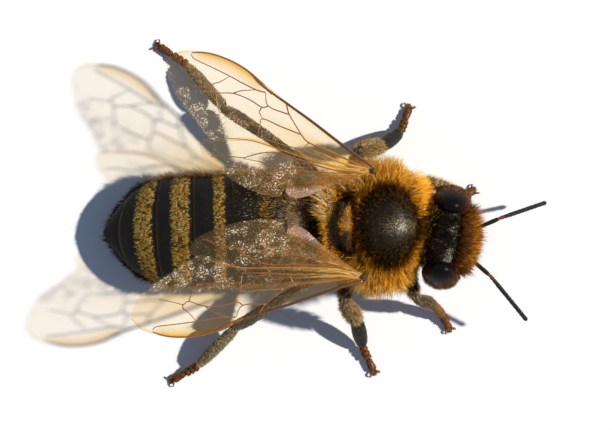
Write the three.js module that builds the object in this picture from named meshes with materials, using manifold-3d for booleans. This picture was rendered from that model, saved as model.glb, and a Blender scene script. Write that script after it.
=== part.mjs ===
// A worker honey bee standing on a floor, life size, in millimetres, with +X forward, +Y to its left
// and +Z up. Every soft part is drawn out to the tips of its coat. The pose is drawn about a point on
// the floor under the thorax, and the bee is then set with the middle of its box over the origin.
import * as THREE from 'three';
import { mergeVertices } from 'three/addons/utils/BufferGeometryUtils.js';
import Module from 'manifold-3d';

const wasm = await Module();
wasm.setup();

// Driving dimensions.
const gap = 0.04; // air between two parts that meet
const bodyYaw = THREE.MathUtils.degToRad(1.8); // the trunk lies a little across the X axis
const trunkSides = 24;
const limbSides = 8;
const featherEdge = 0.02; // a limb's ends narrow to this

const thorax = {
  front: 1.75,
  rear: -2.3,
  width: 5.3,
  top: 4.72,
  bottom: 1.3,
  stations: 9,
};

const abdomen = {
  front: -2.36,
  tip: -10.15,
  width: 4.06,
  widestAt: -6.15, // where the tail starts to close
  top: 3.68,
  bottom: 0.52,
  tipHeight: 0.95,
  backFall: 1.6, // how far the back comes down towards the tail, and the belly with it
  bellyFall: 0.4,
  taper: 3.9, // the higher, the fuller the tail stays before it closes
  bluntness: 0.05, // what is left of its width at the tip
  waistWidth: 2.5,
  waistTop: 3.3,
  waistBottom: 1.5,
  waistLength: 1.6, // how far back the front slope reaches
  rims: [-2.36, -2.8, -3.9, -5.25, -6.7, -8.1, -10.15], // where each ring of the abdomen ends
};

const head = {
  middle: new THREE.Vector3(2.66, -0.48, 2.6),
  yaw: THREE.MathUtils.degToRad(-9),
  width: 3.5,
  chinWidth: 1.75,
  depth: 2.0,
  faceFur: 0.4, // how far the fur of the face stands before it
  top: 1.74,
  bottom: -1.35,
  levels: 9,
};

const eye = {
  along: 0.72, // half sizes: forward, sideways and up
  across: 0.54,
  up: 1.3,
  side: 1.38,
  forward: -0.04,
  height: 0.42,
  lean: THREE.MathUtils.degToRad(9), // the tops lean in
};

const mouth = {
  width: 1.5,
  depth: 0.8,
  drop: 0.6,
  forward: 0.3,
  levels: 4,
  sides: 12,
};

const antennaSize = { width: [0.5, 0.5, 0.5], thickness: [0.5, 0.5, 0.5] };

const wing = {
  thickness: 0.5,
  outlinePoints: 44,
};

// One entry for each side: where the forewing's root is, the way its tip points, how it falls
// towards its tip, and how its rear edge is lifted.
const wingPose = {
  left: {
    root: new THREE.Vector3(-0.11, 2.02, 4.0),
    heading: THREE.MathUtils.degToRad(150.9),
    droop: THREE.MathUtils.degToRad(5.8),
    lift: THREE.MathUtils.degToRad(4.5),
    side: 1,
  },
  right: {
    root: new THREE.Vector3(-0.48, -1.98, 4.0),
    heading: THREE.MathUtils.degToRad(190.4),
    droop: THREE.MathUtils.degToRad(2.6),
    lift: THREE.MathUtils.degToRad(5.2),
    side: -1,
  },
};

// The wings' outlines: along the wing from its root, and back from its front edge.
const forewingOutline = [
  [0, -0.15],
  [1.05, -0.22],
  [2.8, -0.48],
  [4.75, -0.78],
  [5.8, -0.97],
  [6.7, -0.99],
  [7.5, -0.82],
  [8.3, -0.42],
  [8.65, 0.05],
  [8.4, 0.55],
  [7.7, 1.12],
  [6.8, 1.53],
  [5.85, 1.93],
  [5.4, 1.82],
  [4.4, 1.27],
  [3.0, 1.0],
  [1.4, 0.68],
  [0, 0.34],
];
const hindwingOutline = [
  [0, 0.4],
  [1.4, 0.74],
  [3.0, 1.06],
  [4.4, 1.34],
  [5.3, 1.84],
  [5.95, 2.02],
  [6.05, 2.25],
  [5.6, 2.62],
  [4.3, 2.86],
  [3.1, 2.78],
  [2.55, 2.55],
  [2.48, 2.1],
  [2.38, 2.3],
  [2.05, 2.34],
  [1.7, 2.1],
  [1.2, 1.5],
  [0.6, 0.95],
  [0, 0.66],
];

// Each leg's joints, from the body to the claws.
const legPose = {
  fore_left: {
    hip: [1.2, 0.55, 1.2],
    trochanter: [1.45, 1.15, 1.05],
    knee: [2.16, 1.58, 2.3],
    ankle: [3.08, 1.12, 1.1],
    heel: [3.38, 1.02, 0.34],
    toe: [3.62, 1.2, 0.18],
  },
  fore_right: {
    hip: [1.2, -0.55, 1.2],
    trochanter: [1.2, -1.4, 1.05],
    knee: [1.5, -2.75, 2.1],
    ankle: [2.19, -2.98, 1.05],
    heel: [2.56, -3.4, 0.34],
    toe: [2.76, -3.8, 0.18],
  },
  mid_left: {
    hip: [-0.3, 0.8, 1.1],
    trochanter: [-0.75, 1.7, 1.3],
    knee: [-0.62, 2.78, 3.1],
    ankle: [0.2, 2.87, 1.4],
    heel: [1.0, 3.46, 0.34],
    toe: [1.27, 4.24, 0.18],
  },
  mid_right: {
    hip: [-0.3, -0.8, 1.1],
    trochanter: [-1.0, -1.65, 1.3],
    knee: [-1.15, -2.85, 3.05],
    ankle: [-0.67, -3.54, 1.4],
    heel: [-0.44, -4.57, 0.34],
    toe: [-0.06, -5.4, 0.18],
  },
  hind_left: {
    hip: [-1.2, 0.65, 1.1],
    trochanter: [-1.9, 1.25, 1.15],
    knee: [-2.95, 2.55, 2.3],
    ankle: [-5.62, 4.36, 0.95],
    heel: [-7.0, 5.98, 0.34],
    toe: [-7.98, 6.62, 0.18],
  },
  hind_right: {
    hip: [-1.2, -0.65, 1.1],
    trochanter: [-1.9, -1.25, 1.15],
    knee: [-2.75, -2.3, 2.3],
    ankle: [-5.2, -3.88, 0.95],
    heel: [-6.58, -5.3, 0.34],
    toe: [-7.44, -5.78, 0.18],
  },
};

// How wide and how thick each part of a leg is at its near end, its middle and its far end. The
// flat parts of the hind legs stand on edge.
const onEdge = THREE.MathUtils.degToRad(64);
const legSizes = {
  fore: {
    femur: { width: [0.6, 0.74, 0.56], thickness: [0.58, 0.66, 0.52] },
    tibia: { width: [0.5, 0.58, 0.56], thickness: [0.5, 0.54, 0.52] },
    basitarsus: { width: [0.5, 0.52, 0.5], thickness: [0.5, 0.5, 0.5] },
    tarsus: { width: [0.5, 0.5, 0.52], thickness: [0.5, 0.5, 0.5] },
  },
  mid: {
    femur: { width: [0.62, 0.78, 0.66], thickness: [0.6, 0.68, 0.56] },
    tibia: { width: [0.6, 0.72, 0.66], thickness: [0.56, 0.62, 0.58] },
    basitarsus: { width: [0.52, 0.66, 0.5], thickness: [0.5, 0.54, 0.5] },
    tarsus: { width: [0.5, 0.5, 0.52], thickness: [0.5, 0.5, 0.5] },
  },
  hind: {
    femur: { width: [0.62, 0.78, 0.56], thickness: [0.6, 0.68, 0.54] },
    tibia: { width: [0.5, 0.8, 1.04], thickness: [0.5, 0.52, 0.5], tilt: onEdge },
    basitarsus: { width: [0.86, 0.92, 0.6], thickness: [0.5, 0.5, 0.5], tilt: onEdge },
    tarsus: { width: [0.5, 0.5, 0.52], thickness: [0.5, 0.5, 0.5] },
  },
};

const coxaSize = { width: [0.7, 0.8, 0.66], thickness: [0.66, 0.74, 0.62] };

// Antenna joints: on the face, at the elbow, and at the tip.
const antennaPose = {
  left: {
    socket: [3.1, -0.42, 2.86],
    elbow: [4.63, 0.24, 3.0],
    tip: [6.24, 0.77, 1.44],
  },
  right: {
    socket: [3.02, -0.82, 2.86],
    elbow: [4.26, -1.91, 3.12],
    tip: [5.52, -3.42, 2.12],
  },
};

// Materials.
const colours = {
  coat: '#b07a24',
  face: '#5f3a14',
  eye: '#151210',
  shell: '#211812',
  band: '#5d4316',
  membrane: '#c9a35c',
  foot: '#5b2a12',
};

function paint(colour, roughness) {
  return new THREE.MeshStandardMaterial({ color: colour, roughness, metalness: 0 });
}

// Solid modelling helpers.
function solidOf(geometry) {
  const bare = geometry.clone();
  bare.deleteAttribute('normal');
  bare.deleteAttribute('uv');
  const merged = mergeVertices(bare, 1e-5);
  return new wasm.Manifold(new wasm.Mesh({
    numProp: 3,
    vertProperties: new Float32Array(merged.attributes.position.array),
    triVerts: new Uint32Array(merged.index.array),
  }));
}

function geometryOf(solid) {
  const mesh = solid.getMesh();
  const geometry = new THREE.BufferGeometry();
  geometry.setAttribute('position', new THREE.BufferAttribute(new Float32Array(mesh.vertProperties), 3));
  geometry.setIndex(new THREE.BufferAttribute(new Uint32Array(mesh.triVerts), 1));
  geometry.computeVertexNormals();
  return geometry;
}

function carve(solid, ...cutters) {
  return cutters.reduce((left, cutter) => left.subtract(cutter), solid);
}

function join(...solids) {
  return solids.reduce((sum, solid) => sum.add(solid));
}

function smooth(t) {
  return t * t * (3 - 2 * t);
}

// A closed skin over rings of points, each ring turning the same way about the line of rings.
function loft(rings) {
  const sides = rings[0].length;
  const positions = [];
  const indices = [];
  for (const ring of rings) {
    for (const point of ring) {
      positions.push(point.x, point.y, point.z);
    }
  }
  for (let row = 0; row < rings.length - 1; row += 1) {
    for (let side = 0; side < sides; side += 1) {
      const here = row * sides + side;
      const beside = row * sides + ((side + 1) % sides);
      indices.push(here, beside, beside + sides);
      indices.push(here, beside + sides, here + sides);
    }
  }
  const last = rings.length - 1;
  for (const [row, flip] of [[0, false], [last, true]]) {
    const middle = new THREE.Vector3();
    for (const point of rings[row]) {
      middle.addScaledVector(point, 1 / sides);
    }
    const centre = positions.length / 3;
    positions.push(middle.x, middle.y, middle.z);
    for (let side = 0; side < sides; side += 1) {
      const here = row * sides + side;
      const beside = row * sides + ((side + 1) % sides);
      indices.push(...(flip ? [centre, here, beside] : [centre, beside, here]));
    }
  }
  const geometry = new THREE.BufferGeometry();
  geometry.setAttribute('position', new THREE.Float32BufferAttribute(positions, 3));
  geometry.setIndex(indices);
  return solidOf(geometry);
}

// A ring of the trunk at one place along it, wider than high, with a flatter belly.
function trunkRing(x, halfWidth, top, bottom, fullness) {
  const ring = [];
  const waistline = THREE.MathUtils.lerp(bottom, top, 0.46);
  for (let side = 0; side < trunkSides; side += 1) {
    const angle = (side / trunkSides) * Math.PI * 2;
    const across = Math.sign(Math.cos(angle)) * Math.abs(Math.cos(angle)) ** fullness;
    const up = Math.sign(Math.sin(angle)) * Math.abs(Math.sin(angle)) ** fullness;
    const reach = up > 0 ? top - waistline : waistline - bottom;
    const point = new THREE.Vector3(x, -halfWidth * across, waistline + reach * up);
    ring.push(point.applyAxisAngle(new THREE.Vector3(0, 0, 1), bodyYaw));
  }
  return ring;
}

// The thorax: a ball of fur, flatter behind, where it falls to the waist.
function thoraxSolid(grow) {
  const rings = [];
  const middle = (thorax.front + thorax.rear) / 2;
  const half = (thorax.front - thorax.rear) / 2;
  const axis = (thorax.top + thorax.bottom) / 2;
  const reach = (thorax.top - thorax.bottom) / 2;
  for (let station = 0; station < thorax.stations; station += 1) {
    const turn = (station / (thorax.stations - 1) - 0.5) * Math.PI * 0.86;
    const along = Math.sin(turn) / Math.sin(Math.PI * 0.43);
    const round = Math.cos(turn) ** 0.8;
    const halfWidth = (thorax.width / 2) * round + grow;
    const top = axis + 0.02 * along + reach * round ** 0.9 + grow;
    const bottom = axis - reach * round - grow;
    rings.push(trunkRing(middle + along * (half + grow), halfWidth, top, bottom, 0.94));
  }
  return loft(rings.reverse());
}

// Half the abdomen's width, and its top and bottom, at one place along it.
function abdomenAt(x) {
  const rise = smooth(THREE.MathUtils.clamp((abdomen.front - x) / abdomen.waistLength, 0, 1));
  const close = THREE.MathUtils.clamp((abdomen.widestAt - x) / (abdomen.widestAt - abdomen.tip), 0, 1);
  const tail = Math.max(1 - close ** abdomen.taper, abdomen.bluntness);
  const fall = smooth(THREE.MathUtils.clamp((-4.4 - x) / 6.2, 0, 1));
  const halfWidth = (THREE.MathUtils.lerp(abdomen.waistWidth, abdomen.width, rise ** 0.8) / 2) * tail;
  const highest = THREE.MathUtils.lerp(abdomen.waistTop, abdomen.top, rise) - abdomen.backFall * fall;
  const lowest = THREE.MathUtils.lerp(abdomen.waistBottom, abdomen.bottom, rise) - abdomen.bellyFall * fall;
  const axis = THREE.MathUtils.lerp((highest + lowest) / 2, abdomen.tipHeight, close ** 2);
  return {
    halfWidth,
    top: axis + ((highest - lowest) / 2) * tail,
    bottom: axis - ((highest - lowest) / 2) * tail,
  };
}

// One ring of the abdomen, from its front rim to its rear one.
function abdomenSolid(number) {
  const from = abdomen.rims[number - 1] - (number > 1 ? gap : 0);
  const to = abdomen.rims[number];
  const last = number === abdomen.rims.length - 1;
  const stations = last ? 8 : 4;
  const rings = [];
  for (let station = 0; station <= stations; station += 1) {
    const share = station / stations;
    const x = THREE.MathUtils.lerp(from, last ? to + 0.012 : to, share);
    const { halfWidth, top, bottom } = abdomenAt(x);
    rings.push(trunkRing(x, halfWidth, top, bottom, 0.97));
  }
  return loft(rings);
}

// The head, in its own frame: x forward from the neck, y to its left, z up. Level by level from the
// chin to the crown it is a rounded block, and its face carries fur.
function headSolid(grow) {
  const rings = [];
  for (let level = 0; level <= head.levels; level += 1) {
    const turn = (level / head.levels - 0.5) * Math.PI * 0.96;
    const share = (Math.sin(turn) / Math.sin(Math.PI * 0.48) + 1) / 2;
    const round = Math.cos(turn) ** 0.6;
    const z = THREE.MathUtils.lerp(head.bottom - grow, head.top + grow, share);
    const spread = smooth(THREE.MathUtils.clamp(share / 0.62, 0, 1));
    const halfWidth = (THREE.MathUtils.lerp(head.chinWidth, head.width, spread) / 2) * round + grow;
    const front = (head.depth / 2 + head.faceFur) * round + grow;
    const back = (head.depth / 2) * round * THREE.MathUtils.lerp(0.6, 1, spread) + grow;
    const ring = [];
    for (let side = 0; side < trunkSides; side += 1) {
      const angle = (side / trunkSides) * Math.PI * 2;
      const forward = Math.sign(Math.cos(angle)) * Math.abs(Math.cos(angle)) ** 0.84;
      const sideways = Math.sign(Math.sin(angle)) * Math.abs(Math.sin(angle)) ** 0.84;
      ring.push(new THREE.Vector3((forward > 0 ? front : back) * forward, halfWidth * sideways, z));
    }
    rings.push(ring);
  }
  return placeOnHead(loft(rings));
}

function placeOnHead(solid) {
  const turn = new THREE.Matrix4().makeRotationZ(head.yaw);
  turn.setPosition(head.middle);
  return solid.transform(turn.elements);
}

function eyeSolid(side, grow) {
  const ball = new THREE.SphereGeometry(1, 16, 10);
  ball.scale(eye.along + grow, eye.across + grow, eye.up + grow);
  ball.rotateX(side * eye.lean);
  ball.translate(eye.forward, side * eye.side, eye.height);
  return placeOnHead(solidOf(ball));
}

// The jaws and lip, a blunt wedge below the face.
function mouthSolid() {
  const rings = [];
  for (let level = 0; level <= mouth.levels; level += 1) {
    const share = level / mouth.levels;
    const narrow = THREE.MathUtils.lerp(0.5, 1, Math.sqrt(share));
    const z = THREE.MathUtils.lerp(head.bottom - mouth.drop, head.bottom + mouth.drop, share);
    const ring = [];
    for (let side = 0; side < mouth.sides; side += 1) {
      const angle = (side / mouth.sides) * Math.PI * 2;
      const x = mouth.forward + (mouth.depth / 2) * narrow * Math.cos(angle);
      ring.push(new THREE.Vector3(x, (mouth.width / 2) * narrow * Math.sin(angle), z));
    }
    rings.push(ring);
  }
  return placeOnHead(loft(rings));
}

function point(place) {
  return new THREE.Vector3(...place);
}

// A value that runs smoothly through three: one at each end and one halfway.
function through([near, middle, far], share) {
  const bend = 4 * share * (1 - share);
  return THREE.MathUtils.lerp(near, far, share) + bend * (middle - (near + far) / 2);
}

// A limb between two joints, with a width and a thickness at its near end, middle and far end. Its
// width lies level unless it is tilted, and grow makes it longer and stouter all round.
function limbSolid(from, to, size, grow) {
  const along = new THREE.Vector3().subVectors(to, from).normalize();
  const outside = Math.sign(from.y + to.y);
  const across = new THREE.Vector3(-along.y, along.x, 0).normalize();
  across.applyAxisAngle(along, outside * (size.tilt ?? 0));
  const up = new THREE.Vector3().crossVectors(along, across);
  const length = from.distanceTo(to);
  const end = Math.min(size.thickness[0], size.thickness[2]) / 2;
  const stations = [
    [-end, featherEdge],
    [-end * 0.6, 0.8],
    [0, 1],
    [length / 2, 1],
    [length, 1],
    [length + end * 0.6, 0.8],
    [length + end, featherEdge],
  ];
  const rings = stations.map(([distance, fullness]) => {
    const share = THREE.MathUtils.clamp(distance / length, 0, 1);
    const past = distance < 0 ? -grow : distance > length ? grow : 0;
    const centre = from.clone().addScaledVector(along, distance + past);
    const halfWidth = (through(size.width, share) / 2 + grow) * fullness;
    const halfThick = (through(size.thickness, share) / 2 + grow) * fullness;
    const ring = [];
    for (let side = 0; side < limbSides; side += 1) {
      const angle = (side / limbSides) * Math.PI * 2;
      const place = centre.clone();
      place.addScaledVector(across, halfWidth * Math.cos(angle));
      place.addScaledVector(up, halfThick * Math.sin(angle));
      ring.push(place);
    }
    return ring;
  });
  return loft(rings);
}

// All that lies above the floor.
function aboveFloor() {
  const room = new THREE.BoxGeometry(60, 60, 20);
  room.translate(0, 0, 10);
  return solidOf(room);
}

// A wing's slab, with its outline moved out by grow.
function wingSolid(pose, outline, grow) {
  const { side } = pose;
  const curve = new THREE.CatmullRomCurve3(
    outline.map(([u, w]) => new THREE.Vector3(u, side * w, 0)), true, 'centripetal');
  const points = curve.getSpacedPoints(wing.outlinePoints).slice(0, -1);
  const count = points.length;
  const shape = new THREE.Shape(points.map((place, index) => {
    const before = points[(index + count - 1) % count];
    const after = points[(index + 1) % count];
    const outward = new THREE.Vector2(after.y - before.y, before.x - after.x).normalize();
    return new THREE.Vector2(place.x, place.y).addScaledVector(outward, side * grow);
  }));
  const depth = wing.thickness + 2 * grow;
  const slab = new THREE.ExtrudeGeometry(shape, { depth, bevelEnabled: false });
  slab.translate(0, 0, -depth / 2);
  const turn = new THREE.Euler(side * pose.lift, pose.droop, pose.heading, 'ZYX');
  slab.applyMatrix4(new THREE.Matrix4().makeRotationFromEuler(turn).setPosition(pose.root));
  return solidOf(slab);
}

const bee = new THREE.Group();

function addPart(name, solid, colour, roughness) {
  const mesh = new THREE.Mesh(geometryOf(solid), paint(colour, roughness));
  mesh.name = name;
  bee.add(mesh);
}

// Trunk and wings.
const wingCutters = Object.values(wingPose).flatMap((pose) => [
  wingSolid(pose, forewingOutline, gap),
  wingSolid(pose, hindwingOutline, gap),
]);
const thoraxGrown = thoraxSolid(gap);
addPart('thorax', carve(thoraxSolid(0), ...wingCutters), colours.coat, 0.9);
for (let number = 1; number < abdomen.rims.length; number += 1) {
  const colour = number > 2 ? colours.shell : colours.band;
  addPart(`abdomen_${number}`, abdomenSolid(number), colour, 0.35);
}
for (const [sideName, pose] of Object.entries(wingPose)) {
  addPart(`forewing_${sideName}`, wingSolid(pose, forewingOutline, 0), colours.membrane, 0.2);
  const forewingGrown = wingSolid(pose, forewingOutline, gap);
  const hindwing = carve(wingSolid(pose, hindwingOutline, 0), forewingGrown);
  addPart(`hindwing_${sideName}`, hindwing, colours.membrane, 0.2);
}

// Head.
const headGrown = headSolid(gap);
const headBare = carve(headSolid(0), thoraxGrown, eyeSolid(1, gap), eyeSolid(-1, gap));
addPart('head', headBare, colours.face, 0.7);
for (const [sideName, side] of [['left', 1], ['right', -1]]) {
  addPart(`eye_${sideName}`, carve(eyeSolid(side, 0), thoraxGrown), colours.eye, 0.2);
  const joints = antennaPose[sideName];
  const socket = point(joints.socket);
  const elbow = point(joints.elbow);
  const scape = (grow) => limbSolid(socket, elbow, antennaSize, grow);
  const flagellum = limbSolid(elbow, point(joints.tip), antennaSize, 0);
  addPart(`antenna_${sideName}_scape`, carve(scape(0), headGrown), colours.shell, 0.4);
  addPart(`antenna_${sideName}_flagellum`, carve(flagellum, scape(gap)), colours.shell, 0.5);
}
addPart('mouthparts', carve(mouthSolid(), headGrown), colours.face, 0.5);

// Legs: each part stops short of the one before it, and the feet end flat on the floor.
const overFloor = aboveFloor();
for (const [legName, joints] of Object.entries(legPose)) {
  const sizes = legSizes[legName.split('_')[0]];
  const [hip, trochanter, knee, ankle, heel, toe] = Object.values(joints).map(point);
  const thigh = (grow) => join(
    limbSolid(hip, trochanter, coxaSize, grow),
    limbSolid(trochanter, knee, sizes.femur, grow),
  );
  const shin = (grow) => limbSolid(knee, ankle, sizes.tibia, grow);
  const foot = (grow) => limbSolid(ankle, heel, sizes.basitarsus, grow);
  addPart(`leg_${legName}_femur`, carve(thigh(0), thoraxGrown), colours.shell, 0.4);
  addPart(`leg_${legName}_tibia`, carve(shin(0), thigh(gap), headGrown, thoraxGrown), colours.shell, 0.4);
  addPart(`leg_${legName}_basitarsus`, carve(foot(0), shin(gap)), colours.foot, 0.5);
  const toes = limbSolid(heel, toe, sizes.tarsus, 0).intersect(overFloor);
  addPart(`leg_${legName}_tarsus`, carve(toes, foot(gap)), colours.foot, 0.5);
}

// The origin goes to the middle of the bee's box, on the floor.
const box = new THREE.Box3().setFromObject(bee);
bee.position.set(-(box.min.x + box.max.x) / 2, -(box.min.y + box.max.y) / 2, -box.min.z);
bee.updateMatrixWorld(true);

export default bee;
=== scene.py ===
# A worker honey bee as a life-size museum model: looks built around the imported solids.
# Shapes are worked out in millimetres about a point on the floor under the thorax, with +X forward,
# +Y to the bee's left and +Z up, and addPiece turns them into metres in the frame's own axes.
import math

import bpy
import numpy as np
from mathutils import Euler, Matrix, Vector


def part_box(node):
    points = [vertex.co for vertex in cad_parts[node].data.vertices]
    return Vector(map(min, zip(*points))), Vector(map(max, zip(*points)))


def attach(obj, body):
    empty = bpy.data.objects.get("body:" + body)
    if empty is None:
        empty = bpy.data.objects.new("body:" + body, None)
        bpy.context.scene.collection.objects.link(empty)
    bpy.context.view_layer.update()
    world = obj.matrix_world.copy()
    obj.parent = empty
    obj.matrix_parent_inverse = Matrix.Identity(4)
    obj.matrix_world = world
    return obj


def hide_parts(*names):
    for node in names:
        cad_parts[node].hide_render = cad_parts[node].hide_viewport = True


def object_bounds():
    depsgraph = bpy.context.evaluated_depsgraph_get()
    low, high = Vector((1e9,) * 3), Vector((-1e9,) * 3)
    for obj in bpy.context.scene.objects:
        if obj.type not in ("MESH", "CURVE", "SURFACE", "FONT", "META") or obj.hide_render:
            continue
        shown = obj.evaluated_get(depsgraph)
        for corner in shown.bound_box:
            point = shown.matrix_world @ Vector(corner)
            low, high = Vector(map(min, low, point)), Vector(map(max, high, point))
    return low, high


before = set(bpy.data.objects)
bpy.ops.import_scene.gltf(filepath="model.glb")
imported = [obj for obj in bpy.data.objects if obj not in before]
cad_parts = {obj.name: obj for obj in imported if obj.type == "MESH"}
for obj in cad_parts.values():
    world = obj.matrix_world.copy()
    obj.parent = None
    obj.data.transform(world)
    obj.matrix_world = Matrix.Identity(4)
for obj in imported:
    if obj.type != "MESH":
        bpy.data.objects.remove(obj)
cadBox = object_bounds()

millimetre = 0.001
thoraxLow, thoraxHigh = (np.array(corner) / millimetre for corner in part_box("thorax"))
thoraxMiddle = np.array([-0.275, -0.01])  # the thorax box's middle, seen from the point under it
poseShift = np.append((thoraxLow + thoraxHigh)[:2] / 2 - thoraxMiddle, 0.0)
bodyYaw = math.radians(1.8)  # the trunk lies a little across the X axis
luck = np.random.default_rng(11)
print("frame loaded:", len(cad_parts), "nodes")


def colour(code):  # a written colour, such as c8962d, as the linear one that the shaders take
    shares = np.array([int(code[i:i + 2], 16) for i in (0, 2, 4)]) / 255
    linear = np.where(shares <= 0.04045, shares / 12.92, ((shares + 0.055) / 1.055) ** 2.4)
    return (*linear.tolist(), 1.0)


def ease(share):
    share = np.clip(share, 0, 1)
    return share * share * (3 - 2 * share)


def above(number, start, reach):  # nothing up to start, one from a reach beyond it
    return ease((number - start) / reach)


def below(number, start, reach):  # nothing down to start, one from a reach below it
    return ease((start - number) / reach)


def mix(a, b, share):
    return a + (b - a) * share


def hump(value, centre, reach):
    return np.exp(-((value - centre) / reach) ** 2)


def unit(vectors):
    return vectors / np.maximum(np.linalg.norm(vectors, axis=-1, keepdims=True), 1e-9)


def turned(vectors, angle):  # about the Z axis
    flat = np.array(vectors, float)
    out = flat.copy()
    out[..., 0] = flat[..., 0] * math.cos(angle) - flat[..., 1] * math.sin(angle)
    out[..., 1] = flat[..., 0] * math.sin(angle) + flat[..., 1] * math.cos(angle)
    return out


def onBody(places):  # from the trunk's own line to the model's axes, and fromBody back again
    return turned(places, bodyYaw)


def fromBody(places):
    return turned(places, -bodyYaw)


def through(values, shares):  # a smooth curve through evenly spaced values
    values = np.asarray(values, float)
    first = 2 * values[:1] - values[1:2]
    last = 2 * values[-1:] - values[-2:-1]
    padded = np.concatenate([first, values, last])
    place = np.clip(shares, 0, 1) * (len(values) - 1)
    cell = np.minimum(place.astype(int), len(values) - 2)
    t = place - cell
    if values.ndim > 1:
        t = t[:, None]
    a, b, c, d = padded[cell], padded[cell + 1], padded[cell + 2], padded[cell + 3]
    return b + 0.5 * t * (c - a + t * (2 * a - 5 * b + 4 * c - d + t * (3 * (b - c) + d - a)))


# Shapes are pairs: an array of places and an array of triangles.
def facingOut(shape):
    places, faces = shape
    a, b, c = (places[faces[:, i]] for i in range(3))
    volume = np.einsum("ij,ij->i", a, np.cross(b, c)).sum()
    return (places, faces[:, ::-1]) if volume < 0 else shape


def loft(rings):  # a closed skin over rings of points
    rows, sides = rings.shape[:2]
    places = np.concatenate([rings.reshape(-1, 3), rings[[0, -1]].mean(axis=1)])
    row, side = np.meshgrid(np.arange(rows - 1), np.arange(sides), indexing="ij")
    here = row * sides + side
    beside = row * sides + (side + 1) % sides
    walls = np.stack([here, beside, beside + sides, here, beside + sides, here + sides], -1)
    around = np.arange(sides)
    after = (around + 1) % sides
    lastRow = (rows - 1) * sides
    startCap = np.stack([np.full(sides, rows * sides), after, around], 1)
    endCap = np.stack([np.full(sides, rows * sides + 1), lastRow + around, lastRow + after], 1)
    return facingOut((places, np.concatenate([walls.reshape(-1, 3), startCap, endCap])))


def joined(shapes):
    places, faces, used = [], [], 0
    for shapePlaces, shapeFaces in shapes:
        places.append(shapePlaces)
        faces.append(shapeFaces + used)
        used += len(shapePlaces)
    return np.concatenate(places), np.concatenate(faces)


def ball(centre, halfSizes, rows=24, sides=32, yaw=0.0, fullness=1.0):
    turn = np.linspace(-0.5, 0.5, rows) * math.pi * 0.98
    angle = np.arange(sides) / sides * 2 * math.pi
    roundness = np.cos(turn)[:, None] ** fullness
    across = np.sign(np.cos(angle)) * np.abs(np.cos(angle)) ** fullness
    along = np.sign(np.sin(angle)) * np.abs(np.sin(angle)) ** fullness
    height = np.sign(turn) * np.abs(np.sin(turn)) ** fullness
    rings = np.stack([roundness * across, roundness * along, np.repeat(height[:, None], sides, 1)], -1)
    return loft(turned(rings * np.array(halfSizes), yaw) + np.array(centre))


def tube(path, halfWidths, halfThicks, level=(0, 0, 1), sides=8):
    path = np.asarray(path, float)
    along = unit(np.gradient(path, axis=0))
    across = unit(np.cross(np.asarray(level, float), along))
    up = np.cross(along, across)
    angle = np.arange(sides) / sides * 2 * math.pi
    wide = np.broadcast_to(halfWidths, len(path))[:, None, None] * np.cos(angle)[None, :, None]
    thick = np.broadcast_to(halfThicks, len(path))[:, None, None] * np.sin(angle)[None, :, None]
    return loft(path[:, None] + across[:, None] * wide + up[:, None] * thick)


# A limb from joint to joint. Widths and thicknesses are full sizes, evenly spaced along it.
def limb(start, end, widths, thicks, tilt=0.0, bow=(0, 0, 0), rows=20, sides=20, past=0.06):
    start, end = np.asarray(start, float), np.asarray(end, float)
    along = unit(end - start)
    shares = (1 - np.cos(np.linspace(0, math.pi, rows))) / 2
    roundness = np.sqrt(np.clip(1 - np.abs(2 * shares - 1) ** 9, 0.0004, 1))
    path = mix(start - along * past, end + along * past, shares[:, None])
    path = path + np.array(bow) * (4 * shares * (1 - shares))[:, None]
    outside = 1 if start[1] + end[1] > 0 else -1
    across = unit(np.array([-along[1], along[0], 0.0]))
    up = np.cross(along, across)
    turn = outside * tilt
    level = up * math.cos(turn) - across * math.sin(turn)
    halfWidths, halfThicks = (through(sizes, shares) / 2 * roundness for sizes in (widths, thicks))
    return tube(path, halfWidths, halfThicks, level, sides)


def pointNormals(shape):
    places, faces = shape
    a, b, c = (places[faces[:, i]] for i in range(3))
    faceNormals = np.cross(b - a, c - a)
    normals = np.zeros_like(places)
    for i in range(3):
        np.add.at(normals, faces[:, i], faceNormals)
    return unit(normals)


def addObject(name, data):
    made = bpy.data.objects.new(name, data)
    bpy.context.scene.collection.objects.link(made)
    return made


# Makes one Blender object from a shape, with named values on its points for its material to read.
def addPiece(name, shape, material, replaces=(), values=None, patches=None):
    places, faces = shape
    mesh = bpy.data.meshes.new(name)
    mesh.vertices.add(len(places))
    mesh.vertices.foreach_set("co", ((places + poseShift) * millimetre).astype(np.float32).ravel())
    mesh.loops.add(faces.size)
    mesh.loops.foreach_set("vertex_index", faces.astype(np.int32).ravel())
    mesh.polygons.add(len(faces))
    mesh.polygons.foreach_set("loop_start", np.arange(0, faces.size, 3, dtype=np.int32))
    mesh.polygons.foreach_set("use_smooth", np.ones(len(faces), bool))
    mesh.update(calc_edges=True)
    for key, numbers in (values or {}).items():
        layer = mesh.attributes.new(key, "FLOAT", "POINT")
        layer.data.foreach_set("value", np.asarray(numbers, np.float32))
    if patches is not None:
        mesh.uv_layers.new(name="OFBake").data.foreach_set("uv", patches.astype(np.float32).ravel())
    mesh.materials.append(material)
    piece = addObject(name, mesh)
    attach(piece, "root")
    if replaces:
        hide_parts(*replaces)
    return piece


def evenTone(shape, tone):
    return {"tone": np.full(len(shape[0]), tone)}


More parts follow.
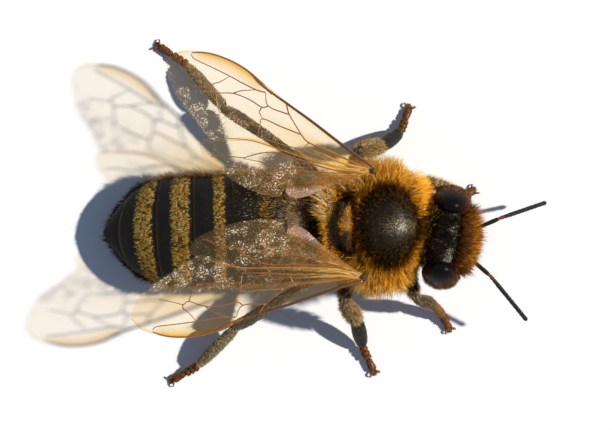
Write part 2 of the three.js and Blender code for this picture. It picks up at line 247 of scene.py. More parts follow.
# Melts several closed shapes into one smooth skin.
def fused(shapes, voxel, rounds):
    places, faces = joined(shapes)
    mesh = bpy.data.meshes.new("melt")
    mesh.from_pydata(places.tolist(), [], faces.tolist())
    melt = addObject("melt", mesh)
    remesh = melt.modifiers.new("melt", "REMESH")
    remesh.mode = "VOXEL"
    remesh.voxel_size = voxel
    relax = melt.modifiers.new("relax", "SMOOTH")
    relax.factor = 0.5
    relax.iterations = rounds
    result = melt.evaluated_get(bpy.context.evaluated_depsgraph_get()).to_mesh()
    result.calc_loop_triangles()
    outPlaces = np.zeros(len(result.vertices) * 3, np.float32)
    result.vertices.foreach_get("co", outPlaces)
    outFaces = np.zeros(len(result.loop_triangles) * 3, np.int32)
    result.loop_triangles.foreach_get("vertices", outFaces)
    bpy.data.objects.remove(melt)
    bpy.data.meshes.remove(mesh)
    return facingOut((outPlaces.reshape(-1, 3).astype(float), outFaces.reshape(-1, 3)))


# Material helpers: put adds a node and sets or links its inputs, and the others add one kind each.
def put(tree, kind, inputs=None, **settings):
    node = tree.nodes.new("ShaderNode" + kind)
    for key, value in settings.items():
        setattr(node, key, value)
    for key, value in (inputs or {}).items():
        if isinstance(value, bpy.types.NodeSocket):
            tree.links.new(value, node.inputs[key])
        else:
            node.inputs[key].default_value = value
    return node


def ramp(tree, factor, stops):
    node = put(tree, "ValToRGB", {"Fac": factor})
    elements = node.color_ramp.elements
    while len(elements) < len(stops):
        elements.new(0.5)
    for element, (place, shade) in zip(elements, stops):
        element.position = place
        element.color = colour(shade) if isinstance(shade, str) else (shade, shade, shade, 1)
    return node.outputs["Color"]


def value(tree, name):
    return put(tree, "Attribute", attribute_name=name).outputs["Fac"]


def sums(tree, operation, a, b):
    return put(tree, "Math", {0: a, 1: b}, operation=operation).outputs[0]


def plus(tree, a, b):
    return sums(tree, "ADD", a, b)


def times(tree, a, b):
    return sums(tree, "MULTIPLY", a, b)


def ranged(tree, source, low, high, start=0.0, end=1.0):  # low where the source is at start, high at its end
    return put(tree, "MapRange", {"Value": source, 1: start, 2: end, 3: low, 4: high}).outputs[0]


def noise(tree, size, detail=4.0, roughness=0.55, stretch=None):  # size in millimetres
    place = put(tree, "TexCoord").outputs["Object"]
    if stretch:
        place = put(tree, "Mapping", {"Vector": place, "Scale": stretch}).outputs[0]
    inputs = {"Vector": place, "Scale": 1 / (size * millimetre), "Detail": detail, "Roughness": roughness}
    return put(tree, "TexNoise", inputs).outputs["Fac"]


def blend(tree, factor, a, b, kind="MIX"):
    node = put(tree, "Mix", {0: factor, 6: a, 7: b}, data_type="RGBA", blend_type=kind)
    return node.outputs[2]


def dented(tree, height, depth, strength=1.0, normal=None):  # depth in millimetres
    inputs = {"Height": height, "Distance": depth * millimetre, "Strength": strength}
    if normal:
        inputs["Normal"] = normal
    return put(tree, "Bump", inputs).outputs["Normal"]


def surface(name, paint, **sockets):
    material = bpy.data.materials.new(name)
    material.use_nodes = True
    tree = material.node_tree
    shader = tree.nodes["Principled BSDF"]
    for key, number in sockets.items():
        shader.inputs[key.replace("_", " ")].default_value = number
    for key, socket in paint(tree).items():
        tree.links.new(socket, shader.inputs[key])
    return material


# Camera straight above, a low key lamp ahead and to the bee's left, a dim sky and a white floor.
shot = {
    "pictureWidth": 22.67,
    "aim": (-0.726, -0.069),  # the picture's middle, from the middle of the bee's box
    "lens": 300,
    "sensor": 36,
    "lampElevation": 42,
    "lampAzimuth": 6,  # from +X towards +Y
    "lampSpread": 2.2,
    "lampPower": 4.5,
    "lampColour": (1.0, 0.955, 0.89),
    "skyStrength": 0.2,
    "skyColour": (0.44, 0.62, 1.0, 1),
    "floorLift": 0.02,
    "floorReach": 0.6,
    "floorColour": (0.96, 0.96, 0.96, 1),
}
white = (1, 1, 1, 1)


def seenStraight(tree):  # one for camera, glossy and transmission rays
    path = put(tree, "LightPath")
    glossy = sums(tree, "MAXIMUM", path.outputs["Is Camera Ray"], path.outputs["Is Glossy Ray"])
    return sums(tree, "MAXIMUM", glossy, path.outputs["Is Transmission Ray"])


def makeCamera():
    low, high = cadBox
    middle = (low + high) / 2
    lens = bpy.data.cameras.new("camera")
    lens.lens = shot["lens"]
    lens.sensor_width = shot["sensor"]
    lens.clip_start = 0.002
    lens.clip_end = 5
    camera = addObject("camera", lens)
    distance = shot["pictureWidth"] * millimetre * shot["lens"] / shot["sensor"]
    aimX, aimY = (offset * millimetre for offset in shot["aim"])
    camera.location = (middle.x + aimX, middle.y + aimY, middle.z + distance)
    bpy.context.scene.camera = camera


def makeLamp():
    lamp = bpy.data.lights.new("key", "SUN")
    lamp.energy = shot["lampPower"]
    lamp.angle = math.radians(shot["lampSpread"])
    lamp.color = shot["lampColour"]
    tilt, turn = 90 - shot["lampElevation"], shot["lampAzimuth"]
    addObject("key", lamp).rotation_euler = (0, math.radians(tilt), math.radians(turn))


def paintFloor(tree):
    return {"Emission Strength": times(tree, seenStraight(tree), shot["floorLift"])}


def makeFloor():
    mesh = bpy.data.meshes.new("floor")
    reach = shot["floorReach"]
    corners = [(-reach, -reach, 0), (reach, -reach, 0), (reach, reach, 0), (-reach, reach, 0)]
    mesh.from_pydata(corners, [], [(0, 1, 2, 3)])
    floor = addObject("floor", mesh)
    floor.location.z = cadBox[0].z
    mesh.materials.append(surface("white_floor", paintFloor, Roughness=0.9, Specular_IOR_Level=0.0,
                                  Base_Color=shot["floorColour"], Emission_Color=white))


def makeSky():
    world = bpy.data.worlds.new("sky")
    world.use_nodes = True
    tree = world.node_tree
    background = tree.nodes["Background"]
    background.inputs["Color"].default_value = shot["skyColour"]
    background.inputs["Strength"].default_value = shot["skyStrength"]
    bright = put(tree, "Background", {"Color": white, "Strength": 1.0})
    either = put(tree, "MixShader", {0: seenStraight(tree), 1: background.outputs[0], 2: bright.outputs[0]})
    tree.links.new(either.outputs[0], tree.nodes["World Output"].inputs["Surface"])
    bpy.context.scene.world = world
    bpy.context.scene.view_settings.view_transform = "Standard"


makeCamera()
makeLamp()
makeFloor()
makeSky()
print("stage set")


# Coat tones run from black-brown through brown, amber and gold to pale straw. Skin and coat share them.
toneStops = [
    (0.0, "0b0907"),
    (0.2, "2c1c0b"),
    (0.4, "7c450d"),
    (0.6, "dc9010"),
    (0.8, "fabc30"),
    (1.0, "fae4b2"),
]

thorax = {
    "patchMiddle": (0.45, -0.06),  # the dark patch on top
    "patchReach": (1.08, 1.42),
    "crest": (-1.08, 0.19),  # the scutellum: where it lies and its half length
    "crestMiddle": 0.26,
    "crestWidth": 0.42,
    "furrow": (-1.48, 0.45),  # the furrow behind it, painted dark as shade in its gap, and how it curves forward at its ends
    "furrowReach": 0.14,
    "gleam": (0.9, -0.1),  # where the patch is nearly bare and shines, with painted glints and a painted gold sheen
    "gleamReach": (0.56, 0.28),
    "backFrom": (3.2, 0.4),  # the back's own markings start at this height, and over how much they fade in
    # The rounded masses that melt into the trunk: middle, half sizes and how full each is.
    "masses": [
        ((0.2, 0, 2.92), (1.5, 1.93, 1.36), 0.86),
        ((-0.1, 0, 2.35), (1.6, 1.62, 0.98), 1.0),
        ((1.24, -0.03, 2.86), (0.42, 1.2, 1.02), 1.0),
        ((-1.12, 0, 3.88), (0.36, 0.95, 0.4), 1.0),
        ((-1.5, 0, 2.74), (0.74, 1.45, 1.1), 1.0),
        ((-2.3, 0, 2.42), (0.4, 0.62, 0.55), 1.0),
    ],
    "neck": [(1.3, -0.05, 2.8), (1.9, -0.25, 2.85), (2.4, -0.42, 2.8)],
    "neckHalfSizes": (0.5, 0.55),
    "meltVoxel": 0.055,
    "meltRounds": 7,
    "grooves": {"seam": 0.075, "middle": 0.02, "sides": 0.025, "furrow": 0.12},  # how deep each is
    # How bright the coat is: 0 is black-brown, 1 is pale straw. The outer, collar and low tones are added.
    # The furrow's tone is painted shade in the gap behind the crest.
    "tones": {"patch": 0.08, "fur": 0.62, "outer": 0.14, "collar": 0.16, "saddle": 0.34, "besideCrest": 0.16,
              "crest": 0.51, "furrow": 0.02, "waist": 0.16, "low": 0.16},
}

head = {
    "middle": np.array([2.66, -0.48, 2.6]),
    "yaw": math.radians(-9),
    "width": 3.1,
    "chinWidth": 1.5,
    "depth": 1.75,
    "top": 1.56,
    "bottom": -1.25,
    "levels": 26,
    "sides": 48,
    # Bare places on the crown, where pale glints are painted: how far ahead and to the left, and their reach.
    "shines": [(0.12, 0.34, 0.12), (0.14, -0.5, 0.15), (0.1, -0.82, 0.2), (0.1, 0.9, 0.09)],
    "tones": {"crown": 0.08, "face": 0.4, "cheeks": 0.15, "chin": 0.86},  # the cheeks' tone is added
}

eye = {
    "halfSizes": (0.7, 0.53, 1.28),
    "side": 1.34,
    "forward": -0.04,
    "height": 0.42,
    "lean": math.radians(9),
    "facetRounds": 5,
    "facetRise": 0.005,
}


def onHead(places):
    return turned(places, head["yaw"]) + head["middle"]


def fromHead(places):
    return turned(places - head["middle"], -head["yaw"])


def headRings():
    turn = (np.linspace(0, 1, head["levels"]) - 0.5) * math.pi * 0.96
    share = (np.sin(turn) / math.sin(math.pi * 0.48) + 1) / 2
    roundness = np.cos(turn) ** 0.62
    spread = ease(share / 0.62)
    z = mix(head["bottom"], head["top"], share)
    halfWidth = mix(head["chinWidth"], head["width"], spread) / 2 * roundness
    front = head["depth"] / 2 * roundness
    back = front * mix(0.6, 1.0, spread)
    angle = np.arange(head["sides"]) / head["sides"] * 2 * math.pi
    forward = np.sign(np.cos(angle)) * np.abs(np.cos(angle)) ** 0.84
    sideways = np.sign(np.sin(angle)) * np.abs(np.sin(angle)) ** 0.84
    x = np.where(forward > 0, front[:, None], back[:, None]) * forward
    return np.stack([x, halfWidth[:, None] * sideways, np.repeat(z[:, None], head["sides"], 1)], -1)


def patchAt(places):  # one on the edge of the dark patch
    x, y = fromBody(places)[:, :2].T
    return np.hypot((x - thorax["patchMiddle"][0]) / thorax["patchReach"][0],
                    (y - thorax["patchMiddle"][1]) / thorax["patchReach"][1])


def furrowAt(x, y):
    middle, curve = thorax["furrow"]
    return hump(x, middle + curve * (y + 0.1) ** 2, thorax["furrowReach"]) * below(np.abs(y), 1.3, 0.3)


def crestAt(x, y):
    middle, reach = thorax["crest"]
    inside = thorax["crestWidth"] - np.abs(y - thorax["crestMiddle"])
    return hump(x, middle + 0.2 * y * y, reach) * ease(inside / 0.3)


def onBack(z):  # one on the thorax's upper side
    return above(z, *thorax["backFrom"])


def saddleAt(x, y, z):  # one over the scutellum and the furrow, where the coat is short
    along = above(x, -1.78, 0.12) * below(x, -0.45, 0.25)
    return along * below(np.abs(y), 1.25, 0.3) * onBack(z)


def thoraxTone(places):
    x, y, z = fromBody(places).T
    tones = thorax["tones"]
    patch = patchAt(places)
    tone = mix(tones["patch"], tones["fur"], above(patch, 0.9, 0.3))
    tone = tone + tones["outer"] * above(patch, 1.2, 0.4) * above(x, -1.7, 0.5)
    tone = tone + tones["collar"] * above(x, 1.2, 0.5) * above(np.abs(y), 0.3, 0.6)
    saddle = 0.85 * below(x, -0.45, 0.15) * above(x, -1.0, 0.2) * below(np.abs(y), 1.3, 0.4)
    tone = mix(tone, tones["saddle"], saddle)
    beside = above(np.abs(y - thorax["crestMiddle"]), 0.3, 0.3) * below(np.abs(y), 1.2, 0.2)
    tone = mix(tone, tones["besideCrest"], beside * hump(x, -1.12, 0.3) * onBack(z))
    tone = mix(tone, tones["crest"], crestAt(x, y) * onBack(z))
    # Painted shade: the furrow is darkened to near black.
    tone = mix(tone, tones["furrow"], furrowAt(x, y) * onBack(z))
    tone = mix(tone, tones["waist"], below(x, -1.85, 0.2) * below(np.abs(y), 1.1, 0.4))
    return np.clip(tone + tones["low"] * below(z, 2.4, 0.8), 0, 1)


def headTone(places):
    x, y, z = fromHead(places).T
    tones = head["tones"]
    tone = mix(tones["crown"], tones["face"], above(x, 0.15, 0.5))
    tone = tone + tones["cheeks"] * above(np.abs(y), 1.45, 0.3) * ease(x / 0.4) * below(z, 1.0, 0.8)
    return np.clip(mix(tone, tones["chin"], below(z, 0.1, 0.9)), 0, 1)


def onThorax(places):  # one on the thorax, falling to nought across the neck
    return ease((2.12 - places[:, 0] + 0.2 * (places[:, 1] + 0.4)) / 0.25)


def bodyTone(places):
    return mix(headTone(places), thoraxTone(places), onThorax(places))


def makeSkin():
    trunk = joined([ball(middle, sizes, fullness=full) for middle, sizes, full in thorax["masses"]])
    trunk = (onBody(trunk[0]), trunk[1])
    neck = tube(through(thorax["neck"], np.linspace(0, 1, 10)), *thorax["neckHalfSizes"], sides=20)
    capsule = loft(onHead(headRings()))
    clypeus = ball(onHead(np.array([0.62, 0, -0.55])), (0.42, 0.6, 0.62), yaw=head["yaw"])
    brow = ball(onHead(np.array([0.55, 0, 0.45])), (0.42, 0.62, 0.6), yaw=head["yaw"])
    shapes = [trunk, neck, capsule, clypeus, brow]
    places, faces = fused(shapes, thorax["meltVoxel"], thorax["meltRounds"])

    # The seam across the back, three fine lines along its front, and the furrow behind the crest.
    depths = thorax["grooves"]
    normals = pointNormals((places, faces))
    x, y, z = fromBody(places).T
    isTop = above(z, 3.0, 0.5) * onThorax(places)
    seam = -0.72 - 0.12 * np.cos(np.clip(y, -1.4, 1.4) / 1.4 * math.pi / 2)
    dent = depths["seam"] * hump(x, seam, 0.07) * below(np.abs(y), 1.7, 0.3)
    dent = dent + depths["middle"] * hump(y, 0, 0.05) * above(x, 0.3, 0.3)
    for side in (1, -1):
        dent = dent + depths["sides"] * hump(y, side * (0.95 + 0.1 * x), 0.06) * below(np.abs(x), 0.9, 0.4)
    dent = dent + depths["furrow"] * furrowAt(x, y)
    places = places - normals * (dent * isTop)[:, None]
    return places, faces


def bareAndPaintedGlintAt(places):  # one where the skin is bare and shines through, with pale glints painted on it: the crown of the head, the gleam and the crest
    x, y, z = fromBody(places).T
    reachX, reachY = thorax["gleamReach"]
    gleam = hump(x, thorax["gleam"][0], reachX) * hump(y, thorax["gleam"][1], reachY)
    back = np.maximum(gleam, 0.3 * crestAt(x, y)) * onThorax(places) * onBack(z)
    x, y, z = fromHead(places).T
    crown = above(z, 1.05, 0.3) * below(np.abs(x + 0.05), 0.5, 0.2)
    shine = sum(hump(x, forward, reach) * hump(y, side, reach) for forward, side, reach in head["shines"])
    return np.maximum(back, crown * np.clip(0.15 + shine, 0, 1) * (1 - onThorax(places)))


def paintSkin(tree):
    bare = value(tree, "bare")
    fine = noise(tree, 0.06)
    pits = noise(tree, 0.13, detail=2, roughness=0.75)
    grains = noise(tree, 0.034, detail=2)
    tones = blend(tree, 0.68, ramp(tree, value(tree, "tone"), toneStops), (0.009, 0.010, 0.006, 1))
    shade = blend(tree, times(tree, fine, 0.3), tones, (0.03, 0.02, 0.008, 1))
    # Painted glints: pale specks on the bare skin stand for sparkles of the lamp.
    speck = ranged(tree, grains, 0.0, 1.0, 0.54, 0.6)
    shade = blend(tree, times(tree, speck, bare), shade, colour("f4f0cc"))
    dull = ranged(tree, fine, 0.4, 0.6)
    rough = put(tree, "Mix", {0: bare, 2: dull, 3: 0.3}).outputs[0]
    height = put(tree, "Mix", {0: bare, 2: times(tree, fine, 0.15), 3: pits}).outputs[0]
    return {"Base Color": shade, "Roughness": rough, "Normal": dented(tree, height, 0.035, 0.8)}


skin = makeSkin()
skinLook = surface("dark_skin", paintSkin, Specular_IOR_Level=0.2)
skinValues = {"tone": bodyTone(skin[0]), "bare": bareAndPaintedGlintAt(skin[0])}
addPiece("skin", skin, skinLook, ("thorax", "head"), skinValues)
print("skin made:", len(skin[1]), "triangles")


# The eyes: a geodesic ball whose every other point is a lens that stands a little proud.
def geodesic(rounds):
    golden = (1 + math.sqrt(5)) / 2
    corners = [(0, a, b * golden) for a in (1, -1) for b in (1, -1)]
    places = unit(np.array([np.roll(corner, turn) for turn in range(3) for corner in corners], float))
    reach = np.linalg.norm(places[:, None] - places[None], axis=2)
    near = (reach > 0.1) & (reach < 1.2)
    faces = [(i, j, k) for i in range(12) for j in range(i) for k in range(j)
             if near[i, j] and near[j, k] and near[i, k]]
    faces = np.array(faces)
    middles = places[faces].mean(axis=1)
    across = np.cross(places[faces[:, 1]] - places[faces[:, 0]], places[faces[:, 2]] - places[faces[:, 0]])
    flipped = np.einsum("ij,ij->i", middles, across) < 0
    faces[flipped] = faces[flipped][:, ::-1]
    for _ in range(rounds):
        edges = np.sort(faces[:, [[0, 1], [1, 2], [2, 0]]].reshape(-1, 2), axis=1)
        found, where = np.unique(edges, axis=0, return_inverse=True)
        halfway = where.reshape(-1, 3) + len(places)
        coarse = len(places)
        places = np.concatenate([places, unit(places[found].mean(axis=1))])
        a, b, c = faces.T
        ab, bc, ca = halfway.T
        faces = np.concatenate([np.stack(trio, 1) for trio in
                                ((a, ab, ca), (b, bc, ab), (c, ca, bc), (ab, bc, ca))])
    return places, faces, coarse


def eyeShape(side):
    places, faces, lenses = geodesic(eye["facetRounds"] + 1)
    swell = np.ones(len(places))
    swell[:lenses] += eye["facetRise"]
    places = places * swell[:, None] * np.array(eye["halfSizes"])
    lean = side * eye["lean"]
    y = places[:, 1] * math.cos(lean) - places[:, 2] * math.sin(lean)
    z = places[:, 1] * math.sin(lean) + places[:, 2] * math.cos(lean)
    places = np.stack([places[:, 0] + eye["forward"], y + side * eye["side"], z + eye["height"]], 1)
    return onHead(places), faces


def paintEye(tree):
    # Painted rim sheen: reddish brown is painted where the eye is seen at a slant, broken up by mottle.
    facing = put(tree, "LayerWeight", {"Blend": 0.4}).outputs["Facing"]
    mottle = noise(tree, 0.3)
    warm = times(tree, times(tree, facing, facing), mottle)
    base = ramp(tree, warm, [(0.0, "080707"), (0.16, "1a1210"), (0.42, "6e3a24")])
    return {"Base Color": base, "Normal": dented(tree, mottle, 0.002, 0.4)}


eyeLook = surface("eye_lenses", paintEye, Roughness=0.3, Specular_IOR_Level=0.06)
eyes = {name: eyeShape(side) for name, side in (("left", 1), ("right", -1))}
for name, shape in eyes.items():
    addPiece(f"eye_{name}", shape, eyeLook, (f"eye_{name}",))


def topOf(shape, x, y):  # how high a shape is over one place
    places = shape[0]
    near = np.hypot(places[:, 0] - x, places[:, 1] - y) < 0.08
    return places[near, 2].max()


def paintOcellus(tree):
    speck = noise(tree, 0.1)
    return {"Base Color": ramp(tree, speck, [(0.3, "2a1208"), (0.7, "5a2a10")])}


ocellusLook = surface("ocellus", paintOcellus, Roughness=0.08, Specular_IOR_Level=0.5)
ocelli = []
for forward, sideways in ((0.2, 0.0), (-0.06, 0.27), (-0.06, -0.27)):
    place = onHead(np.array([forward, sideways, 0.0]))
    ocelli.append(ball((place[0], place[1], topOf(skin, place[0], place[1])), (0.085, 0.085, 0.08)))
addPiece("ocelli", joined(ocelli), ocellusLook)
print("eyes made")


# Feelers: a thin scape, a reddish elbow joint and a flagellum of short rings.
feeler = {
    "left": {"socket": (3.1, -0.42, 2.86), "elbow": (4.63, 0.24, 3.0), "tip": (6.24, 0.77, 1.44)},
    "right": {"socket": (3.02, -0.82, 2.86), "elbow": (4.26, -1.91, 3.12), "tip": (5.52, -3.42, 2.12)},
    "scape": [0.12, 0.13, 0.14, 0.15, 0.17, 0.17],  # its width from socket to elbow
    "width": 0.165,
    "rings": 10,
    "past": 0.2,
}


def paintFeeler(tree):
    fine = noise(tree, 0.04)
    stops = [(0.0, "0b130c"), (0.35, "13140f"), (0.7, "4c1c0e"), (1.0, "8a3a1a")]
    base = ramp(tree, value(tree, "tone"), stops)
    base = blend(tree, times(tree, fine, 0.25), base, colour("2e3a2c"))
    return {"Base Color": base, "Normal": dented(tree, fine, 0.004, 0.6)}


feelerLook = surface("feeler", paintFeeler, Roughness=0.3, Specular_IOR_Level=0.16)


def makeFeeler(name):
    socket, elbow, tip = (np.array(feeler[name][key]) for key in ("socket", "elbow", "tip"))
    outward = unit(elbow - socket)
    scape = limb(socket, elbow - outward * 0.06, feeler["scape"], feeler["scape"], bow=(0, 0, 0.06))
    past = np.linalg.norm(scape[0] - socket, axis=1) - 0.88 * np.linalg.norm(elbow - socket)
    shade = {"tone": 0.9 * ease(past / 0.15)}  # reddish at the elbow
    addPiece(f"antenna_{name}_scape", scape, feelerLook, (f"antenna_{name}_scape",), shade)
    down = unit(tip - elbow)
    length = np.linalg.norm(tip - elbow) + feeler["past"]
    parts = [limb(elbow, elbow + down * 0.13, [0.1, 0.15, 0.14], [0.1, 0.15, 0.14])]
    tones = [np.full(len(parts[0][0]), 0.8)]
    step = (length - 0.2) / feeler["rings"]
    for ring in range(feeler["rings"]):
        start = elbow + down * (0.2 + ring * step)
        end = start + down * (step - 0.006)
        size = feeler["width"] * (0.9 if ring == 0 else 1.0)
        last = ring == feeler["rings"] - 1
        sizes = [size * 0.95, size, size, size * (0.62 if last else 0.98)]
        parts.append(limb(start, end, sizes, sizes, rows=14, sides=16, past=0.018))
        tones.append(np.full(len(parts[-1][0]), 0.1 + 0.3 * (ring == 0)))
    shape = joined(parts)
    shares = np.linalg.norm(shape[0] - elbow, axis=1) / length
    bend = ease(shares) * (1 - shares)
    shape = (shape[0] + np.array([0, 0, 0.3]) * bend[:, None], shape[1])
    shade = {"tone": np.concatenate(tones)}
    addPiece(f"antenna_{name}_flagellum", shape, feelerLook, (f"antenna_{name}_flagellum",), shade)


for name in ("left", "right"):
    makeFeeler(name)


# Jaws and upper lip below the face.
def paintJaw(tree):
    grain = noise(tree, 0.12)
    base = ramp(tree, grain, [(0.25, "2a120a"), (0.6, "59280f"), (0.85, "7a3d14")])
    return {"Base Color": base, "Normal": dented(tree, grain, 0.01, 0.4)}


jawLook = surface("jaw", paintJaw, Roughness=0.25, Specular_IOR_Level=0.5)


def makeJaws():
    lip = ball(onHead(np.array([0.66, 0, -1.2])), (0.2, 0.42, 0.2), yaw=head["yaw"])
    addPiece("labrum", lip, jawLook)
    for name, side in (("left", 1), ("right", -1)):
        hinge = onHead(np.array([0.42, side * 0.56, -1.12]))
        tip = onHead(np.array([0.66, side * 0.06, -1.8]))
        jaw = limb(hinge, tip, [0.36, 0.34, 0.3, 0.34, 0.22], [0.26, 0.2, 0.15, 0.12, 0.06],
                   bow=onHead(np.array([0.1, side * 0.1, 0])) - onHead(np.zeros(3)))
        addPiece(f"mandible_{name}", jaw, jawLook, ("mouthparts",))


makeJaws()
print("feelers and jaws made")


# The abdomen: six back plates, the belly plates under them, and a dark core.
abdomen = {
    "front": -2.36,
    "tip": -10.15,
    "width": 4.0,
    "widestAt": -6.15,
    "top": 3.62,
    "bottom": 0.6,
    "tipHeight": 0.95,
    "backFall": 1.6,  # how far the back comes down towards the tail, and the belly with it
    "bellyFall": 0.4,
    "taper": 3.9,
    "waistWidth": 2.8,
    "waistTop": 3.15,
    "waistBottom": 1.5,
    "waistLength": 1.35,
    "edges": [-2.42, -3.31, -5.25, -6.7, -8.11, -9.55, -10.13],  # plates end here on the midline
    "frontRim": -2.64,  # a step across the first plate
    "sweep": 0.62,  # how far the plates near the tail curve forward at the sides
    "plateThickness": 0.05,
    "plateRows": 26,
    "plateColumns": 72,
    "lap": 0.24,  # how far each plate runs in under the one before
    "lip": 0.03,  # how far a plate flares near its end, before its edge turns in
    "edgeTurn": 0.045,
    "tuck": 0.05,  # how deep its front lies under the one before
    "firstTuck": 0.02,
    "bellyGap": 0.06,  # the belly plates lie this much inside the back plates
    "bellyOverlap": 0.14,  # and run this far up inside them, as an angle
    "coreGap": 0.16,
    "sideAngle": math.radians(-24),  # where the back plates end, below the side
    # Each band of gold down: its middle, how far it reaches, and how thick it lies.
    "bands": [(-3.98, 0.3, 0.3), (-5.72, 0.2, 0.85), (-7.2, 0.33, 1.0), (-8.6, 0.32, 1.0)],
}


def abdomenAt(x):
    rise = below(x, abdomen["front"], abdomen["waistLength"])
    close = np.clip((abdomen["widestAt"] - x) / (abdomen["widestAt"] - abdomen["tip"]), 0, 1)
    tail = np.maximum(1 - close ** abdomen["taper"], 0)
    fall = below(x, -4.4, 6.2)
    halfWidth = mix(abdomen["waistWidth"], abdomen["width"], rise ** 0.5) / 2 * tail
    highest = mix(abdomen["waistTop"], abdomen["top"], rise ** 0.8) - abdomen["backFall"] * fall
    lowest = mix(abdomen["waistBottom"], abdomen["bottom"], rise) - abdomen["bellyFall"] * fall
    axis = mix((highest + lowest) / 2, abdomen["tipHeight"], close ** 2)
    return halfWidth, axis, (highest - lowest) / 2 * tail


def sweepAt(x):
    return abdomen["sweep"] * below(x, -6.6, 2.6) * above(x, -10.2, 0.6)


def leanAt(angle):  # how far the plates curve forward round the sides, nothing on the back and belly lines
    return (1 - np.sin(angle)) * (1 - hump(angle, -math.pi / 2, 0.9))


# Points of the abdomen's surface, grown by so much, at places along its midline and angles round it.
def abdomenPlaces(along, angle, grow):
    x = np.minimum(along + sweepAt(along) * leanAt(angle) * 0.8, abdomen["front"])
    halfWidth, axis, halfHeight = abdomenAt(x)
    fullness = 0.94
    across = np.sign(np.cos(angle)) * np.abs(np.cos(angle)) ** fullness
    up = np.sign(np.sin(angle)) * np.abs(np.sin(angle)) ** fullness
    y = np.maximum(halfWidth + grow, 0.01) * across
    z = axis + np.maximum(halfHeight + grow, 0.01) * up
    return np.stack([x, y, z], -1)


# A curved plate: rows along the body, columns round it, closed with a thickness inside.
def plate(rows, columns, grow):
    along, angle = np.meshgrid(rows, columns, indexing="ij")
    outer = abdomenPlaces(along, angle, grow[:, None])
    inner = abdomenPlaces(along, angle, grow[:, None] - abdomen["plateThickness"])
    places, faces = loft(np.concatenate([outer, inner[:, ::-1]], axis=1))
    return onBody(places), faces


def bandAt(x, angle):  # how thick the gold down lies
    lean = (1 - np.sin(angle)) * 0.8
    strength = np.zeros_like(x)
    for middle, reach, weight in abdomen["bands"]:
        there = middle + sweepAt(np.full_like(x, middle)) * lean
        strength = np.maximum(strength, weight * np.exp(-np.abs((x - there) / reach) ** 6))
    return strength


def roundAngle(places):  # the angle round the abdomen of places on it
    x, y, z = fromBody(places).T
    halfWidth, axis, halfHeight = abdomenAt(x)
    return np.arctan2((z - axis) / np.maximum(halfHeight, 0.05), np.abs(y) / np.maximum(halfWidth, 0.05))


def paintPlate(tree):
    edge = value(tree, "edge")
    fine = noise(tree, 0.05)
    cross = noise(tree, 0.5, stretch=(1, 0.25, 0.25))
    base = ramp(tree, cross, [(0.3, "0a0b0c"), (0.7, "171716")])
    rim = ramp(tree, edge, [(0.0, "5d452b"), (0.03, "4a311b"), (0.09, "17110c"), (0.2, "0b0a09")])
    onRim = ramp(tree, edge, [(0.0, 1.0), (0.05, 0.8), (0.12, 0.0)])
    base = blend(tree, onRim, base, rim)
    base = blend(tree, value(tree, "warm"), base, colour("5c3c20"))
    base = blend(tree, times(tree, value(tree, "band"), 0.7), base, colour("644814"))
    rough = ranged(tree, fine, 0.26, 0.5)
    return {"Base Color": base, "Roughness": rough, "Normal": dented(tree, fine, 0.005, 0.5)}


plateLook = surface("back_plate", paintPlate, Specular_IOR_Level=0.1)
bellyLook = surface("belly_plate", paintPlate, Specular_IOR_Level=0.1)


# What a plate's material reads: how far it is to the plate's end, its gold down, and its brown sides.
def plateValues(number, places):
    x = fromBody(places)[:, 0]
    angle = roundAngle(places)
    midline = x - sweepAt(x) * (leanAt(angle) * 0.8)
    edge = midline - abdomen["edges"][number]
    if number == 1:
        edge = np.minimum(edge, np.abs(midline - abdomen["frontRim"]) + 0.01)
    warm = 0.8 * above(x, -3.4, 0.3) + 0.35 * below(np.sin(angle), 0.25, 0.5)
    return {"edge": np.clip(edge, 0, 1), "band": bandAt(x, angle), "warm": warm}


def makePlates():
    side = abdomen["sideAngle"]
    over = abdomen["bellyOverlap"]
    kinds = (
        ("tergite", plateLook, side, math.pi - side, 0.0),
        ("sternite", bellyLook, math.pi - side - over, 2 * math.pi + side + over, -abdomen["bellyGap"]),
    )
    share = np.linspace(0, 1, abdomen["plateRows"])
    flare = abdomen["lip"] * above(share, 0.6, 0.36) - abdomen["edgeTurn"] * (share > 0.985)
    shapes = {}
    ends = list(enumerate(zip(abdomen["edges"], abdomen["edges"][1:]), 1))
    for number, (front, back) in ends:
        if number > 1:
            front = front + abdomen["lap"]
            tuck = -abdomen["tuck"] * (1 - ease(share / 0.34))
        else:
            tuck = -abdomen["firstTuck"] * (1 - share)
        rows = mix(front, back, np.sin(share * math.pi / 2) if number == len(ends) else share)
        nodes = ("abdomen_1", "abdomen_2") if number == 1 else (f"abdomen_{min(number + 1, 6)}",)
        for kind, look, fromAngle, toAngle, grow in kinds:
            name = f"{kind}_{number}"
            if name == "sternite_1":  # the core closes the first ring below
                continue
            columns = np.linspace(fromAngle, toAngle, abdomen["plateColumns"])
            shapes[name] = plate(rows, columns, flare + tuck + grow)
            addPiece(name, shapes[name], look, nodes, plateValues(number, shapes[name][0]))
    angle = np.arange(48) / 48 * 2 * math.pi
    rows = np.concatenate([np.linspace(-2.36, -8.4, 30), np.linspace(-8.6, -9.9, 12)])
    along, around = np.meshgrid(rows, angle, indexing="ij")
    core = loft(onBody(abdomenPlaces(along, around, -abdomen["coreGap"])))
    dark = {"edge": np.ones(len(core[0])), "band": np.zeros(len(core[0])), "warm": np.full(len(core[0]), 0.6)}
    addPiece("abdomen_core", core, bellyLook, values=dark)
    return shapes


plates = makePlates()
print("abdomen made")


